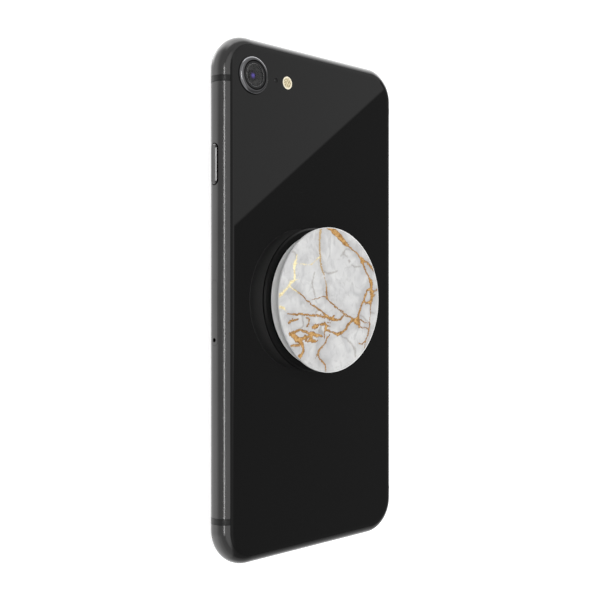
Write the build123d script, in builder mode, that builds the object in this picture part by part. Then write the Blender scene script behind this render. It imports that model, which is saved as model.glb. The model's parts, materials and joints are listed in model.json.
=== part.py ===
from build123d import *
import os

# A slab smartphone lying on its screen, back up, with a round collapsible grip stuck on its back.
# Millimetres. X across the phone, Y along it towards the camera end, Z up out of the back.
# The origin is under the middle of the phone, on the front glass.

# ---- driving dimensions -------------------------------------------------------------------------
LENGTH = 138.4  # along Y
WIDTH = 67.3  # along X
THICK = 7.3  # along Z, without the camera ring and the grip
CORNER = 9.8  # plan corner radius
EDGE = 3.6  # radius of the rounded edge of the band
MID = THICK / 2
SIDE = WIDTH / 2  # outermost X of the band
END = LENGTH / 2  # outermost Y of the band

WALL = 2.6  # band thickness around the inner pocket
INNER_SIDE = SIDE - WALL  # inner face of the band's side
INNER_END = END - WALL
CUT_PAST = 0.5  # how far a cut runs past the wall that it goes through
FRONT_INSET = 1.6  # cover glass boundary, measured in from the side
REAR_INSET = 2.45  # rear glass boundary, measured in from the side
GLASS_GAP = 0.05  # hairline gap around both glasses

COVER_TOP = 0.82  # inner face of the cover glass
POCKET_Z = 0.9  # ledge that the cover glass lies on
PANEL_TOP = 2.0
SHIELD_TOP = 2.25
BOARD_Z = 4.7
BOARD_TOP = 5.5
PLATE_Z = 5.7  # rear plate of the chassis
PLATE_TOP = 6.3
PLATE_LENGTH = 124.0
REAR_GLASS_Z = 6.5
ADHESIVE_OPENING = (52, 98)

BREAK_Y = 56.8  # middle of each antenna break
BREAK_WIDTH = 1.6
BREAK_GAP = 0.07  # groove on both sides of a break

SCREEN_WIDTH = 58.5
SCREEN_LENGTH = 104.0
HOME_Y = -59.9
HOME_RADIUS = 5.5
EAR_Y = 60.7
EAR_LENGTH = 11.6
EAR_WIDTH = 1.7
FRONT_CAMERA = (9.9, EAR_Y)
PROXIMITY = (0, 65.0)

CAMERA = (-23.5, 58.65)
CAMERA_RADIUS = 4.95  # outside of the ring
CAMERA_TOP = 8.15
CAMERA_GLASS_RADIUS = 3.88
FLASH = (-11.1, 58.65)
FLASH_RADIUS = 1.72
REAR_MIC = (-15.4, 58.68)
REAR_MIC_HOLE = 0.6
CAMERA_CLEARANCE = 5.6  # hole in the rear plate around the camera
FLASH_CLEARANCE = 2.2
REAR_MIC_CLEARANCE = 1.3
COIL_POCKET_RADIUS = 23.0
COIL_RADII = (21.0, 8.0)
COIL_Z = PLATE_Z + 0.28

BUTTON_LENGTH = 10.3
BUTTON_WIDTH = 2.1
BUTTON_PROUD = 0.3
BUTTON_CHAMFER = (0.255, 0.27)  # across the face, then down the side
BUTTON_SLOT_GAP = 0.3
FLANGE_STEP = 32.0  # X where the slot in the wall widens inwards for the flange
FLANGE_POCKET = (12.4, 3.4)
FLANGE_EXTRA = (1.2, 0.9)  # flange larger than the cap, in length and width
FLANGE_THICK = 0.38
FLANGE_PLAY = 0.02
PLUNGER_RADIUS = 0.8
PLUNGER_LENGTH = 0.2
SWITCH_X = 30.3
SWITCH_THICK = 0.65
SWITCH_WIDTH = 2.5
DOME_RADIUS = 1.2
DOME_HEIGHT = 0.12
POWER_Y = 34.87
VOLUME_UP_Y = 34.87
VOLUME_DOWN_Y = 22.2
MUTE_Y = 47.0
MUTE_LEVER_Z = MID - 0.55  # lever at rest, towards the screen
MUTE_SLOT = (6.2, 3.0)
MUTE_POCKET = (7.6, 4.6)
MUTE_LEVER = (5.4, 1.5)
MUTE_SLIDER = (6.8, 3.1, 0.5)  # length, width and thickness behind the wall
MUTE_SLIDER_X = 31.4
MUTE_PROUD = 0.1
TRAY_Y = -3.31
TRAY_LENGTH = 16.82
TRAY_WIDTH = 2.3
TRAY_GAP = 0.05
TRAY_CAP = WALL - 0.3  # thickness of the tray's outer cap
TRAY_Z = (3.2, 4.1)
TRAY_END_X = -14.6
TRAY_HALF = 5.2
EJECT_HOLE_Y = -10.3
EJECT_HOLE_RADIUS = 0.55
CARD_TRAY_Y = -2.0  # middle of the card carrier, clear of the eject hole
CARD_X = (-28.9, -16.6)
CARD_HALF = 4.4
CARD_THICK = 0.67
CARD_WINDOW = (10.4, 7.0)  # opening under the card

PORT_LENGTH = 8.5
PORT_WIDTH = 2.7
PORT_SHELL_GAP = (0.3, 0.2)  # shell mouth smaller than the opening, in length and width
PORT_MOUTH_Y = -66.5
PORT_DEPTH = 6.5
CONTACT_PITCH = 0.7
CONTACTS_PER_SIDE = 8
CONTACT_THICK = 0.15
SCREW_X = 7.2
SCREW_HEAD = 0.8  # radius
SCREW_SHANK = 0.5
SCREW_RECESS = 0.1
SCREW_HEAD_THICK = 0.85
SCREW_LENGTH = 3.6
SCREW_FIT = 0.05  # clearance around the head
SHANK_FIT = 0.02
GRILLE_START = 11.4
GRILLE_PITCH = 2.1
GRILLE_HOLES = 6
GRILLE_RADIUS = 0.65

BOARD_SCREW_HEAD = (0.9, 0.45)  # radius and thickness
BOARD_SCREW_SHANK = 0.5
BOARD_SCREW_LENGTH = 1.3
BOARD_SCREW_SLOT = (0.9, 0.2)
BOSS_RADIUS = 1.4
BOARD_SCREWS = [(-27.6, 28.5), (-13.2, 28.5), (-27.8, -9.7), (-27.6, -38.4), (-7.2, 60.4), (4.0, 60.4)]

GRIP_BASE = THICK  # the grip stands on the rear glass
GRIP_RADIUS = 19.9
PLATFORM_RADIUS = 20.0
PAD_RADIUS = 19.9
SKIRT_RADIUS = 18.2  # foot of the top shell's flared skirt
SHELL_INSIDE = 17.35  # radius of the hollow under the top shell
LIP_HEIGHT = 0.38  # straight edge of the top shell
RIM_WIDTH = 0.22  # white rim around the insert
INSERT_PLAY = 0.03
HUB_STUB = 4.0  # radius
HUB_STUB_HEIGHT = 0.7
HUB_PLATE = 0.8
PAD_TOP = GRIP_BASE + 0.15
PLATFORM_TOP = GRIP_BASE + 0.7
SHELL_BOTTOM = GRIP_BASE + 1.0
SHELL_CEILING = GRIP_BASE + 4.3
GRIP_TOP = GRIP_BASE + 5.65
INSERT_THICK = 0.35
WALL_BOTTOM = PLATFORM_TOP + 0.05  # accordion walls, collapsed
WALL_TOP = GRIP_BASE + 4.05
WALL_THICK = 0.7
# middle radius of each accordion wall at its lower and upper end, from the outside in
BASE_WALL = (16.7, 15.7)
LOWER_FOLD = (14.1, 14.9)
MIDDLE_WALL = (13.3, 12.5)
UPPER_FOLD = (10.9, 11.7)
UPPER_WALL = (10.1, 9.3)

os.makedirs("parts", exist_ok=True)


def save(part, name):
    """Labels a finished piece and writes its STEP file."""
    part.label = name
    export_step(part, f"parts/{name}.step")


def outline(inset):
    """The phone's plan outline, drawn in from its edge, in the open sketch."""
    RectangleRounded(WIDTH - 2 * inset, LENGTH - 2 * inset, CORNER - inset)


def block(x, y, z, radius):
    """A plain block between two values of x, y and z, with rounded upright edges."""
    with BuildPart() as made:
        with BuildSketch(Plane.XY.offset(z[0])):
            with Locations(((x[0] + x[1]) / 2, (y[0] + y[1]) / 2)):
                RectangleRounded(x[1] - x[0], y[1] - y[0], radius)
        extrude(amount=z[1] - z[0])
    return made.part


def disc(centre, radius, z):
    """A plain upright disc between two values of z."""
    with BuildPart() as made:
        with BuildSketch(Plane.XY.offset(z[0])):
            with Locations(centre):
                Circle(radius)
        extrude(amount=z[1] - z[0])
    return made.part


def cut_disc(centre, radius, z):
    """Cuts a round hole between two values of z in the open part."""
    with BuildSketch(Plane.XY.offset(z[0])) as hole:
        with Locations(centre):
            Circle(radius)
    extrude(hole.sketch, amount=z[1] - z[0], mode=Mode.SUBTRACT)


def cut_side_slot(side, y, size, outer_x):
    """Cuts a stadium-shaped slot in the band's side, from inside the wall out to outer_x."""
    start = INNER_SIDE - CUT_PAST
    with BuildSketch(Plane.YZ.offset(side * start)) as slot:
        with Locations((y, MID)):
            SlotOverall(*size)
    extrude(slot.sketch, amount=side * (outer_x - start), mode=Mode.SUBTRACT)


def turned(points):
    """A solid of revolution about Z from a closed (radius, z) profile."""
    with BuildPart() as made:
        with BuildSketch(Plane.XZ):
            with BuildLine():
                Polyline(*points, close=True)
            make_face()
        revolve(axis=Axis.Z)
    return made.part


# ---- band: one aluminium extrusion cut into segments ---------------------------------------------
with BuildPart() as envelope:
    with BuildSketch():
        outline(0)
    extrude(amount=THICK)
    rims = envelope.edges().group_by(Axis.Z)
    fillet(rims[0] + rims[-1], EDGE)

with BuildPart() as band:
    add(envelope.part)
    with BuildSketch():
        outline(FRONT_INSET)
    extrude(amount=POCKET_Z, mode=Mode.SUBTRACT)
    with BuildSketch(Plane.XY.offset(POCKET_Z)):
        outline(WALL)
    extrude(amount=PLATE_TOP - POCKET_Z, mode=Mode.SUBTRACT)
    with BuildSketch(Plane.XY.offset(PLATE_TOP)):
        outline(REAR_INSET)
    extrude(amount=THICK - PLATE_TOP, mode=Mode.SUBTRACT)

BREAK_INNER = BREAK_Y - BREAK_WIDTH / 2
BREAK_OUTER = BREAK_Y + BREAK_WIDTH / 2

with BuildPart() as chassis:
    with BuildSketch():
        Rectangle(WIDTH + 2, 2 * BREAK_INNER)
    extrude(amount=THICK)
    add(band.part, mode=Mode.INTERSECT)
    # rear plate, with the pocket for the charging coil
    with BuildSketch(Plane.XY.offset(PLATE_Z)):
        RectangleRounded(WIDTH - 2 * WALL, PLATE_LENGTH, 4)
        Circle(COIL_POCKET_RADIUS, mode=Mode.SUBTRACT)
    extrude(amount=PLATE_TOP - PLATE_Z)
    # bosses for the board's screws
    with BuildSketch(Plane.XY.offset(BOARD_TOP)):
        with Locations(*BOARD_SCREWS):
            Circle(BOSS_RADIUS)
    extrude(amount=PLATE_Z - BOARD_TOP)
    with BuildSketch(Plane.XY.offset(BOARD_TOP)):
        with Locations(*BOARD_SCREWS):
            Circle(BOARD_SCREW_SHANK + SHANK_FIT)
    extrude(amount=0.6, mode=Mode.SUBTRACT)
    cut_disc(CAMERA, CAMERA_CLEARANCE, (PLATE_Z, PLATE_TOP))
    cut_disc(FLASH, FLASH_CLEARANCE, (PLATE_Z, PLATE_TOP))
    cut_disc(REAR_MIC, REAR_MIC_CLEARANCE, (PLATE_Z, PLATE_TOP))
    button_slot = (BUTTON_LENGTH + 2 * BUTTON_SLOT_GAP, BUTTON_WIDTH + 2 * BUTTON_SLOT_GAP)
    for side, y in ((-1, POWER_Y), (1, VOLUME_UP_Y), (1, VOLUME_DOWN_Y)):
        cut_side_slot(side, y, button_slot, SIDE + CUT_PAST)
        cut_side_slot(side, y, FLANGE_POCKET, FLANGE_STEP)
    cut_side_slot(1, MUTE_Y, MUTE_SLOT, SIDE + CUT_PAST)
    with BuildSketch(Plane.YZ.offset(INNER_SIDE - CUT_PAST)):
        with Locations((MUTE_Y, MID)):
            RectangleRounded(*MUTE_POCKET, 0.4)
    extrude(amount=FLANGE_STEP - INNER_SIDE + CUT_PAST, mode=Mode.SUBTRACT)
    cut_side_slot(-1, TRAY_Y, (TRAY_LENGTH + 2 * TRAY_GAP, TRAY_WIDTH + 2 * TRAY_GAP), SIDE + CUT_PAST)
save(chassis.part, "chassis")

with BuildPart() as frame_top_segment:
    with BuildSketch():
        with Locations((0, (BREAK_OUTER + END + 1) / 2)):
            Rectangle(WIDTH + 2, END + 1 - BREAK_OUTER)
    extrude(amount=THICK)
    add(band.part, mode=Mode.INTERSECT)
save(frame_top_segment.part, "frame_top_segment")

with BuildPart() as frame_bottom_segment:
    with BuildSketch():
        with Locations((0, -(BREAK_OUTER + END + 1) / 2)):
            Rectangle(WIDTH + 2, END + 1 - BREAK_OUTER)
    extrude(amount=THICK)
    add(band.part, mode=Mode.INTERSECT)
    with BuildSketch(Plane.XZ.offset(END)):
        with Locations((0, MID)):
            SlotOverall(PORT_LENGTH, PORT_WIDTH)
        for i in range(GRILLE_HOLES):
            with Locations(*[(side * (GRILLE_START + i * GRILLE_PITCH), MID) for side in (-1, 1)]):
                Circle(GRILLE_RADIUS)
    extrude(amount=-(WALL + CUT_PAST), mode=Mode.SUBTRACT)
    with BuildSketch(Plane.XZ.offset(END)):
        with Locations((-SCREW_X, MID), (SCREW_X, MID)):
            Circle(SCREW_HEAD + SCREW_FIT)
    extrude(amount=-(SCREW_RECESS + SCREW_HEAD_THICK + SCREW_FIT), mode=Mode.SUBTRACT)
    with BuildSketch(Plane.XZ.offset(END)):
        with Locations((-SCREW_X, MID), (SCREW_X, MID)):
            Circle(SCREW_SHANK + SHANK_FIT)
    extrude(amount=-(WALL + CUT_PAST), mode=Mode.SUBTRACT)
save(frame_bottom_segment.part, "frame_bottom_segment")

with BuildPart() as antenna_breaks:
    with BuildSketch():
        with Locations((0, -BREAK_Y), (0, BREAK_Y)):
            Rectangle(WIDTH + 2, BREAK_WIDTH - 2 * BREAK_GAP)
    extrude(amount=THICK)
    add(band.part, mode=Mode.INTERSECT)
save(antenna_breaks.part, "antenna_breaks")

# ---- back ----------------------------------------------------------------------------------------
with BuildPart() as rear_glass:
    with BuildSketch(Plane.XY.offset(REAR_GLASS_Z)):
        outline(REAR_INSET + GLASS_GAP)
    extrude(amount=THICK - REAR_GLASS_Z)
    add(envelope.part, mode=Mode.INTERSECT)
    cut_disc(CAMERA, CAMERA_RADIUS + 0.05, (REAR_GLASS_Z, THICK))
    cut_disc(FLASH, FLASH_RADIUS + 0.04, (REAR_GLASS_Z, THICK))
    cut_disc(REAR_MIC, REAR_MIC_HOLE, (REAR_GLASS_Z, THICK))
save(rear_glass.part, "rear_glass")

with BuildPart() as rear_glass_adhesive:
    with BuildSketch(Plane.XY.offset(PLATE_TOP)):
        outline(REAR_INSET + 0.15)
        RectangleRounded(*ADHESIVE_OPENING, 6, mode=Mode.SUBTRACT)
        with Locations(CAMERA):
            Circle(CAMERA_RADIUS + 0.4, mode=Mode.SUBTRACT)
        with Locations(FLASH):
            Circle(FLASH_CLEARANCE, mode=Mode.SUBTRACT)
        with Locations(REAR_MIC):
            Circle(REAR_MIC_CLEARANCE, mode=Mode.SUBTRACT)
    extrude(amount=REAR_GLASS_Z - PLATE_TOP)
save(rear_glass_adhesive.part, "rear_glass_adhesive")

with BuildPart() as coil_ferrite_shield:
    with BuildSketch(Plane.XY.offset(PLATE_Z + 0.05)):
        Circle(COIL_POCKET_RADIUS - 0.4)
    extrude(amount=COIL_Z - PLATE_Z - 0.05)
save(coil_ferrite_shield.part, "coil_ferrite_shield")

with BuildPart() as charging_coil:
    with BuildSketch(Plane.XY.offset(COIL_Z)):
        Circle(COIL_RADII[0])
        Circle(COIL_RADII[1], mode=Mode.SUBTRACT)
    extrude(amount=0.42)
save(charging_coil.part, "charging_coil")

# ---- rear camera ---------------------------------------------------------------------------------
CAMERA_SEAT = CAMERA_TOP - 0.38  # ledge under the lens cover
RING_FLANGE = 5.5  # radius of the flange under the rear glass
RING_BORE = 3.35
MODULE_Z = 2.4
MODULE_SIZE = 9.6
BARREL_RADIUS = 3.1
BARREL_Z = (3.4, 7.35)
BARREL_STOP = 6.6  # where the barrel's bore opens into its cone
ELEMENT_RADIUS = 2.28
ELEMENT_LAYERS = ((3.85, 4.45), (4.6, 5.2), (5.4, 6.0))
FRONT_ELEMENT_Z = (6.1, 6.55, 7.2)  # foot, shoulder and crown of the front lens
FRONT_ELEMENT_RADIUS = 1.4

with BuildPart() as camera_ring:
    with BuildSketch(Plane.XY.offset(PLATE_Z + 0.05)):
        with Locations(CAMERA):
            Circle(RING_FLANGE)
    extrude(amount=0.5)
    with BuildSketch(Plane.XY.offset(PLATE_Z + 0.05)):
        with Locations(CAMERA):
            Circle(CAMERA_RADIUS)
    extrude(amount=CAMERA_TOP - PLATE_Z - 0.05)
    fillet(camera_ring.edges().group_by(Axis.Z)[-1], 0.84)
    cut_disc(CAMERA, RING_BORE, (PLATE_Z, CAMERA_SEAT))
    cut_disc(CAMERA, CAMERA_GLASS_RADIUS + 0.04, (CAMERA_SEAT, CAMERA_TOP))
save(camera_ring.part, "camera_ring")

with BuildPart() as camera_lens_cover:
    add(disc(CAMERA, CAMERA_GLASS_RADIUS, (CAMERA_SEAT, CAMERA_TOP - 0.06)))
    chamfer(camera_lens_cover.edges().group_by(Axis.Z)[-1], 0.05)
save(camera_lens_cover.part, "camera_lens_cover")

with BuildPart() as camera_module_housing:
    with BuildSketch(Plane.XY.offset(MODULE_Z)):
        with Locations(CAMERA):
            RectangleRounded(MODULE_SIZE, MODULE_SIZE, 0.6)
    extrude(amount=PLATE_Z - MODULE_Z - 0.05)
    cut_disc(CAMERA, BARREL_RADIUS + 0.2, (MODULE_Z + 0.55, PLATE_Z))
save(camera_module_housing.part, "camera_module_housing")

with BuildPart() as camera_lens_barrel:
    add(disc(CAMERA, BARREL_RADIUS, BARREL_Z))
    cut_disc(CAMERA, ELEMENT_RADIUS + 0.02, (BARREL_Z[0] + 0.4, BARREL_STOP))
    cut_disc(CAMERA, 1.9, (BARREL_Z[0], BARREL_Z[0] + 0.4))
    with BuildSketch(Plane.XY.offset(BARREL_STOP)):
        with Locations(CAMERA):
            Circle(FRONT_ELEMENT_RADIUS + 0.1)
    with BuildSketch(Plane.XY.offset(BARREL_Z[1])):
        with Locations(CAMERA):
            Circle(2.5)
    loft(mode=Mode.SUBTRACT)
save(camera_lens_barrel.part, "camera_lens_barrel")

with BuildPart() as camera_lens_elements:
    foot, shoulder, crown = FRONT_ELEMENT_Z
    for layer in (*ELEMENT_LAYERS, (foot, shoulder)):
        add(disc(CAMERA, ELEMENT_RADIUS, layer))
    with BuildSketch(Plane.XY.offset(shoulder)):
        with Locations(CAMERA):
            Circle(FRONT_ELEMENT_RADIUS)
    extrude(amount=crown - shoulder)
    fillet(camera_lens_elements.edges().group_by(Axis.Z)[-1], 0.5)
save(camera_lens_elements.part, "camera_lens_elements")

# ---- flash and rear microphone -------------------------------------------------------------------
LED_BOARD_Z = (6.2, 6.45)
LED_TOP = 6.75
LED_PITCH = 1.3
LED_SIZE = 1.05

with BuildPart() as flash_window:
    add(disc(FLASH, FLASH_RADIUS - 0.01, (LED_TOP + 0.1, THICK)))
save(flash_window.part, "flash_window")

with BuildPart() as flash_leds:
    add(disc(FLASH, FLASH_RADIUS - 0.05, LED_BOARD_Z))
    with BuildSketch(Plane.XY.offset(LED_BOARD_Z[1])):
        with Locations(FLASH):
            with GridLocations(LED_PITCH, LED_PITCH, 2, 2):
                Rectangle(LED_SIZE, LED_SIZE)
    extrude(amount=LED_TOP - LED_BOARD_Z[1])
save(flash_leds.part, "flash_leds")

with BuildPart() as rear_microphone:
    add(disc(REAR_MIC, REAR_MIC_CLEARANCE - 0.1, (PLATE_Z + 0.05, REAR_GLASS_Z - 0.05)))
    with BuildSketch(Plane.XY.offset(REAR_GLASS_Z - 0.05)):
        with Locations(REAR_MIC):
            Circle(REAR_MIC_HOLE - 0.04)
    extrude(amount=THICK - 0.12 - REAR_GLASS_Z + 0.05)
save(rear_microphone.part, "rear_microphone")

# ---- front ---------------------------------------------------------------------------------------
with BuildPart() as cover_glass:
    with BuildSketch():
        outline(FRONT_INSET + GLASS_GAP)
        with Locations((0, HOME_Y)):
            Circle(HOME_RADIUS, mode=Mode.SUBTRACT)
        with Locations((0, EAR_Y)):
            SlotOverall(EAR_LENGTH, EAR_WIDTH, mode=Mode.SUBTRACT)
    extrude(amount=COVER_TOP)
    add(envelope.part, mode=Mode.INTERSECT)
save(cover_glass.part, "cover_glass")

with BuildPart() as front_bezel_mask:
    with BuildSketch(Plane.XY.offset(COVER_TOP)):
        outline(FRONT_INSET + 0.1)
        Rectangle(SCREEN_WIDTH, SCREEN_LENGTH, mode=Mode.SUBTRACT)
        with Locations((0, HOME_Y)):
            Circle(HOME_RADIUS, mode=Mode.SUBTRACT)
        with Locations((0, EAR_Y)):
            SlotOverall(EAR_LENGTH + 0.3, EAR_WIDTH + 0.3, mode=Mode.SUBTRACT)
        with Locations(FRONT_CAMERA):
            Circle(1.25, mode=Mode.SUBTRACT)
        with Locations(PROXIMITY):
            Circle(0.8, mode=Mode.SUBTRACT)
    extrude(amount=POCKET_Z - COVER_TOP)
save(front_bezel_mask.part, "front_bezel_mask")

with BuildPart() as display_panel:
    with BuildSketch(Plane.XY.offset(COVER_TOP)):
        Rectangle(SCREEN_WIDTH - 0.1, SCREEN_LENGTH - 0.1)
    extrude(amount=POCKET_Z - COVER_TOP)
    with BuildSketch(Plane.XY.offset(POCKET_Z)):
        Rectangle(SCREEN_WIDTH + 1.3, SCREEN_LENGTH + 1.5)
    extrude(amount=PANEL_TOP - POCKET_Z)
save(display_panel.part, "display_panel")

with BuildPart() as display_shield_plate:
    with BuildSketch(Plane.XY.offset(PANEL_TOP)):
        RectangleRounded(SCREEN_WIDTH + 2, SCREEN_LENGTH + 4, 1.5)
    extrude(amount=SHIELD_TOP - PANEL_TOP)
save(display_shield_plate.part, "display_shield_plate")

with BuildPart() as display_gasket:
    with BuildSketch(Plane.XY.offset(POCKET_Z)):
        outline(WALL + 0.1)
        gasket_inside = (WIDTH - 2 * (WALL + 0.9), LENGTH - 2 * (WALL + 0.9))
        RectangleRounded(*gasket_inside, CORNER - WALL - 0.9, mode=Mode.SUBTRACT)
    extrude(amount=0.6)
save(display_gasket.part, "display_gasket")

with BuildPart() as home_button_ring:
    add(disc((0, HOME_Y), HOME_RADIUS - 0.04, (0.04, COVER_TOP)))
    chamfer(home_button_ring.edges().group_by(Axis.Z)[0], 0.1)
    cut_disc((0, HOME_Y), HOME_RADIUS - 0.42, (0, COVER_TOP))
save(home_button_ring.part, "home_button_ring")

with BuildPart() as home_button:
    add(disc((0, HOME_Y), HOME_RADIUS - 0.45, (0.16, POCKET_Z)))
    with BuildSketch(Plane.XY.offset(POCKET_Z)):
        with Locations((0, HOME_Y)):
            RectangleRounded(12, 11.6, 2.5)
    extrude(amount=0.8)
save(home_button.part, "home_button")

with BuildPart() as earpiece_mesh:
    with BuildSketch(Plane.XY.offset(0.3)):
        with Locations((0, EAR_Y)):
            SlotOverall(EAR_LENGTH - 0.06, EAR_WIDTH - 0.06)
    extrude(amount=0.45)
save(earpiece_mesh.part, "earpiece_mesh")

with BuildPart() as earpiece_speaker:
    add(block((-6.9, 6.9), (EAR_Y - 3, EAR_Y + 3), (POCKET_Z + 0.05, 3.6), 0.8))
save(earpiece_speaker.part, "earpiece_speaker")

with BuildPart() as front_camera_module:
    add(disc(FRONT_CAMERA, 1.5, (POCKET_Z + 0.05, 1.7)))
    with BuildSketch(Plane.XY.offset(1.7)):
        with Locations(FRONT_CAMERA):
            RectangleRounded(5.6, 5.6, 0.5)
    extrude(amount=2.6)
save(front_camera_module.part, "front_camera_module")

with BuildPart() as proximity_sensor:
    add(block((-1.8, 1.8), (64.1, 65.7), (1.55, 2.6), 0.3))
    with BuildSketch(Plane.XY.offset(POCKET_Z + 0.05)):
        with Locations((0, 64.9)):
            Circle(0.7)
    extrude(amount=1.55 - POCKET_Z - 0.05)
save(proximity_sensor.part, "proximity_sensor")

# ---- battery, board and what is on it ------------------------------------------------------------
BATTERY_X = (-8.8, 29.2)
BATTERY_Y = (-41.5, 50.5)
BATTERY_Z = (2.5, 5.4)
BOARD_X = -20.25  # middle of the board's long arm
BOARD_ARM = (19.3, 91)
BOARD_HEAD = (29.6, 12.8)  # cross arm at the camera end
CAN_WIDTH = 16.4
CAN_WALL = 0.2
CAN_Z = 3.0
CANS_Y = ((-36.8, -11.2), (6.0, 24.5), (33.5, 48.6))
FLEX_X = -19.5
FLEX_Y = (25.6, 32.0)
FLEX_FILM = 0.15

with BuildPart() as battery:
    add(block(BATTERY_X, BATTERY_Y, BATTERY_Z, 1.5))
    fillet(battery.edges().group_by(Axis.Z)[-1], 0.6)
save(battery.part, "battery")

with BuildPart() as logic_board:
    with BuildSketch(Plane.XY.offset(BOARD_Z)):
        with Locations((BOARD_X, 5.5)):
            Rectangle(*BOARD_ARM)
        with Locations((-2.8, 57.6)):
            Rectangle(*BOARD_HEAD)
        with Locations((-14.1, 51.1)):
            Rectangle(7, 1)
        with Locations(*BOARD_SCREWS):
            Circle(BOARD_SCREW_SHANK + SCREW_FIT, mode=Mode.SUBTRACT)
    extrude(amount=BOARD_TOP - BOARD_Z)
save(logic_board.part, "logic_board")

with BuildPart() as board_shields:
    for low, high in CANS_Y:
        with BuildSketch(Plane.XY.offset(CAN_Z)):
            with Locations((BOARD_X, (low + high) / 2)):
                RectangleRounded(CAN_WIDTH, high - low, 0.8)
        extrude(amount=BOARD_Z - CAN_Z)
        with BuildSketch(Plane.XY.offset(CAN_Z + CAN_WALL)):
            with Locations((BOARD_X, (low + high) / 2)):
                RectangleRounded(CAN_WIDTH - 2 * CAN_WALL, high - low - 2 * CAN_WALL, 0.6)
        extrude(amount=BOARD_Z - CAN_Z - CAN_WALL, mode=Mode.SUBTRACT)
save(board_shields.part, "board_shields")

with BuildPart() as internal_screws:
    head_radius, head_thick = BOARD_SCREW_HEAD
    with BuildSketch(Plane.XY.offset(BOARD_Z - head_thick)):
        with Locations(*BOARD_SCREWS):
            Circle(head_radius)
    extrude(amount=head_thick)
    with BuildSketch(Plane.XY.offset(BOARD_Z)):
        with Locations(*BOARD_SCREWS):
            Circle(BOARD_SCREW_SHANK)
    extrude(amount=BOARD_SCREW_LENGTH)
    with BuildSketch(Plane.XY.offset(BOARD_Z - head_thick)):
        with Locations(*BOARD_SCREWS):
            Rectangle(*BOARD_SCREW_SLOT)
            Rectangle(*reversed(BOARD_SCREW_SLOT))
    extrude(amount=head_thick / 2, mode=Mode.SUBTRACT)
save(internal_screws.part, "internal_screws")

with BuildPart() as display_flex_cable:
    loop = (10.0, BOARD_Z - SHIELD_TOP)
    with BuildSketch(Plane.XZ.offset(-FLEX_Y[0])):
        with Locations((FLEX_X, (SHIELD_TOP + BOARD_Z) / 2)):
            RectangleRounded(*loop, 1.0)
            RectangleRounded(loop[0] - 2 * FLEX_FILM, loop[1] - 2 * FLEX_FILM, 0.85, mode=Mode.SUBTRACT)
        with Locations((FLEX_X + loop[0] / 2, MID)):
            Rectangle(4, 4, mode=Mode.SUBTRACT)
    extrude(amount=-(FLEX_Y[1] - FLEX_Y[0]))
save(display_flex_cable.part, "display_flex_cable")

# ---- SIM tray ------------------------------------------------------------------------------------
with BuildPart() as sim_tray:
    with BuildSketch(Plane.YZ.offset(-SIDE)):
        with Locations((TRAY_Y, MID)):
            SlotOverall(TRAY_LENGTH, TRAY_WIDTH)
        with Locations((EJECT_HOLE_Y, MID)):
            Circle(EJECT_HOLE_RADIUS, mode=Mode.SUBTRACT)
    extrude(amount=TRAY_CAP)
    add(envelope.part, mode=Mode.INTERSECT)
    carrier_y = (CARD_TRAY_Y - TRAY_HALF, CARD_TRAY_Y + TRAY_HALF)
    add(block((-SIDE + TRAY_CAP, TRAY_END_X), carrier_y, TRAY_Z, 0.8))
    with BuildSketch(Plane.XY.offset(TRAY_Z[1])):
        with Locations(((CARD_X[0] + CARD_X[1]) / 2, CARD_TRAY_Y)):
            Rectangle(CARD_X[1] - CARD_X[0] + 0.2, 2 * CARD_HALF + 0.2)
    extrude(amount=-(CARD_THICK + 0.01), mode=Mode.SUBTRACT)
    with BuildSketch(Plane.XY.offset(TRAY_Z[1])):
        with Locations(((CARD_X[0] + CARD_X[1]) / 2, CARD_TRAY_Y)):
            Rectangle(*CARD_WINDOW)
    extrude(amount=-(TRAY_Z[1] - TRAY_Z[0] + 0.1), mode=Mode.SUBTRACT)
save(sim_tray.part, "sim_tray")

with BuildPart() as sim_card:
    card_y = (CARD_TRAY_Y - CARD_HALF, CARD_TRAY_Y + CARD_HALF)
    add(block(CARD_X, card_y, (TRAY_Z[1] - CARD_THICK, TRAY_Z[1]), 0.8))
save(sim_card.part, "sim_card")

with BuildPart() as sim_reader:
    reader_x = (-30.2, TRAY_END_X + 1)
    reader_y = (CARD_TRAY_Y - TRAY_HALF - 1, CARD_TRAY_Y + TRAY_HALF + 1)
    add(block(reader_x, reader_y, (MID - 0.8, BOARD_Z - 0.05), 0.4))
    with BuildSketch(Plane.YZ.offset(reader_x[0])):
        with Locations((CARD_TRAY_Y, MID)):
            Rectangle(2 * TRAY_HALF + 0.4, 1.3)
    extrude(amount=TRAY_END_X + 0.3 - reader_x[0], mode=Mode.SUBTRACT)
save(sim_reader.part, "sim_reader")

# ---- buttons and their switches ------------------------------------------------------------------
def side_button(side, y):
    """A key in the band: rounded cap, retaining flange and plunger."""
    with BuildPart() as made:
        shoulder = FLANGE_STEP - FLANGE_PLAY
        with BuildSketch(Plane.YZ.offset(side * shoulder)):
            with Locations((y, MID)):
                SlotOverall(BUTTON_LENGTH, BUTTON_WIDTH)
        extrude(amount=side * (SIDE + BUTTON_PROUD - shoulder))
        face = made.faces().sort_by(Axis.X)[0 if side < 0 else -1]
        chamfer(face.edges(), *BUTTON_CHAMFER, reference=face)
        with BuildSketch(Plane.YZ.offset(side * shoulder)):
            with Locations((y, MID)):
                SlotOverall(BUTTON_LENGTH + FLANGE_EXTRA[0], BUTTON_WIDTH + FLANGE_EXTRA[1])
        extrude(amount=-side * FLANGE_THICK)
        with BuildSketch(Plane.YZ.offset(side * (shoulder - FLANGE_THICK))):
            with Locations((y, MID)):
                Circle(PLUNGER_RADIUS)
        extrude(amount=-side * PLUNGER_LENGTH)
    return made.part


with BuildPart() as power_button:
    add(side_button(-1, POWER_Y))
save(power_button.part, "power_button")

with BuildPart() as volume_up_button:
    add(side_button(1, VOLUME_UP_Y))
save(volume_up_button.part, "volume_up_button")

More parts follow.
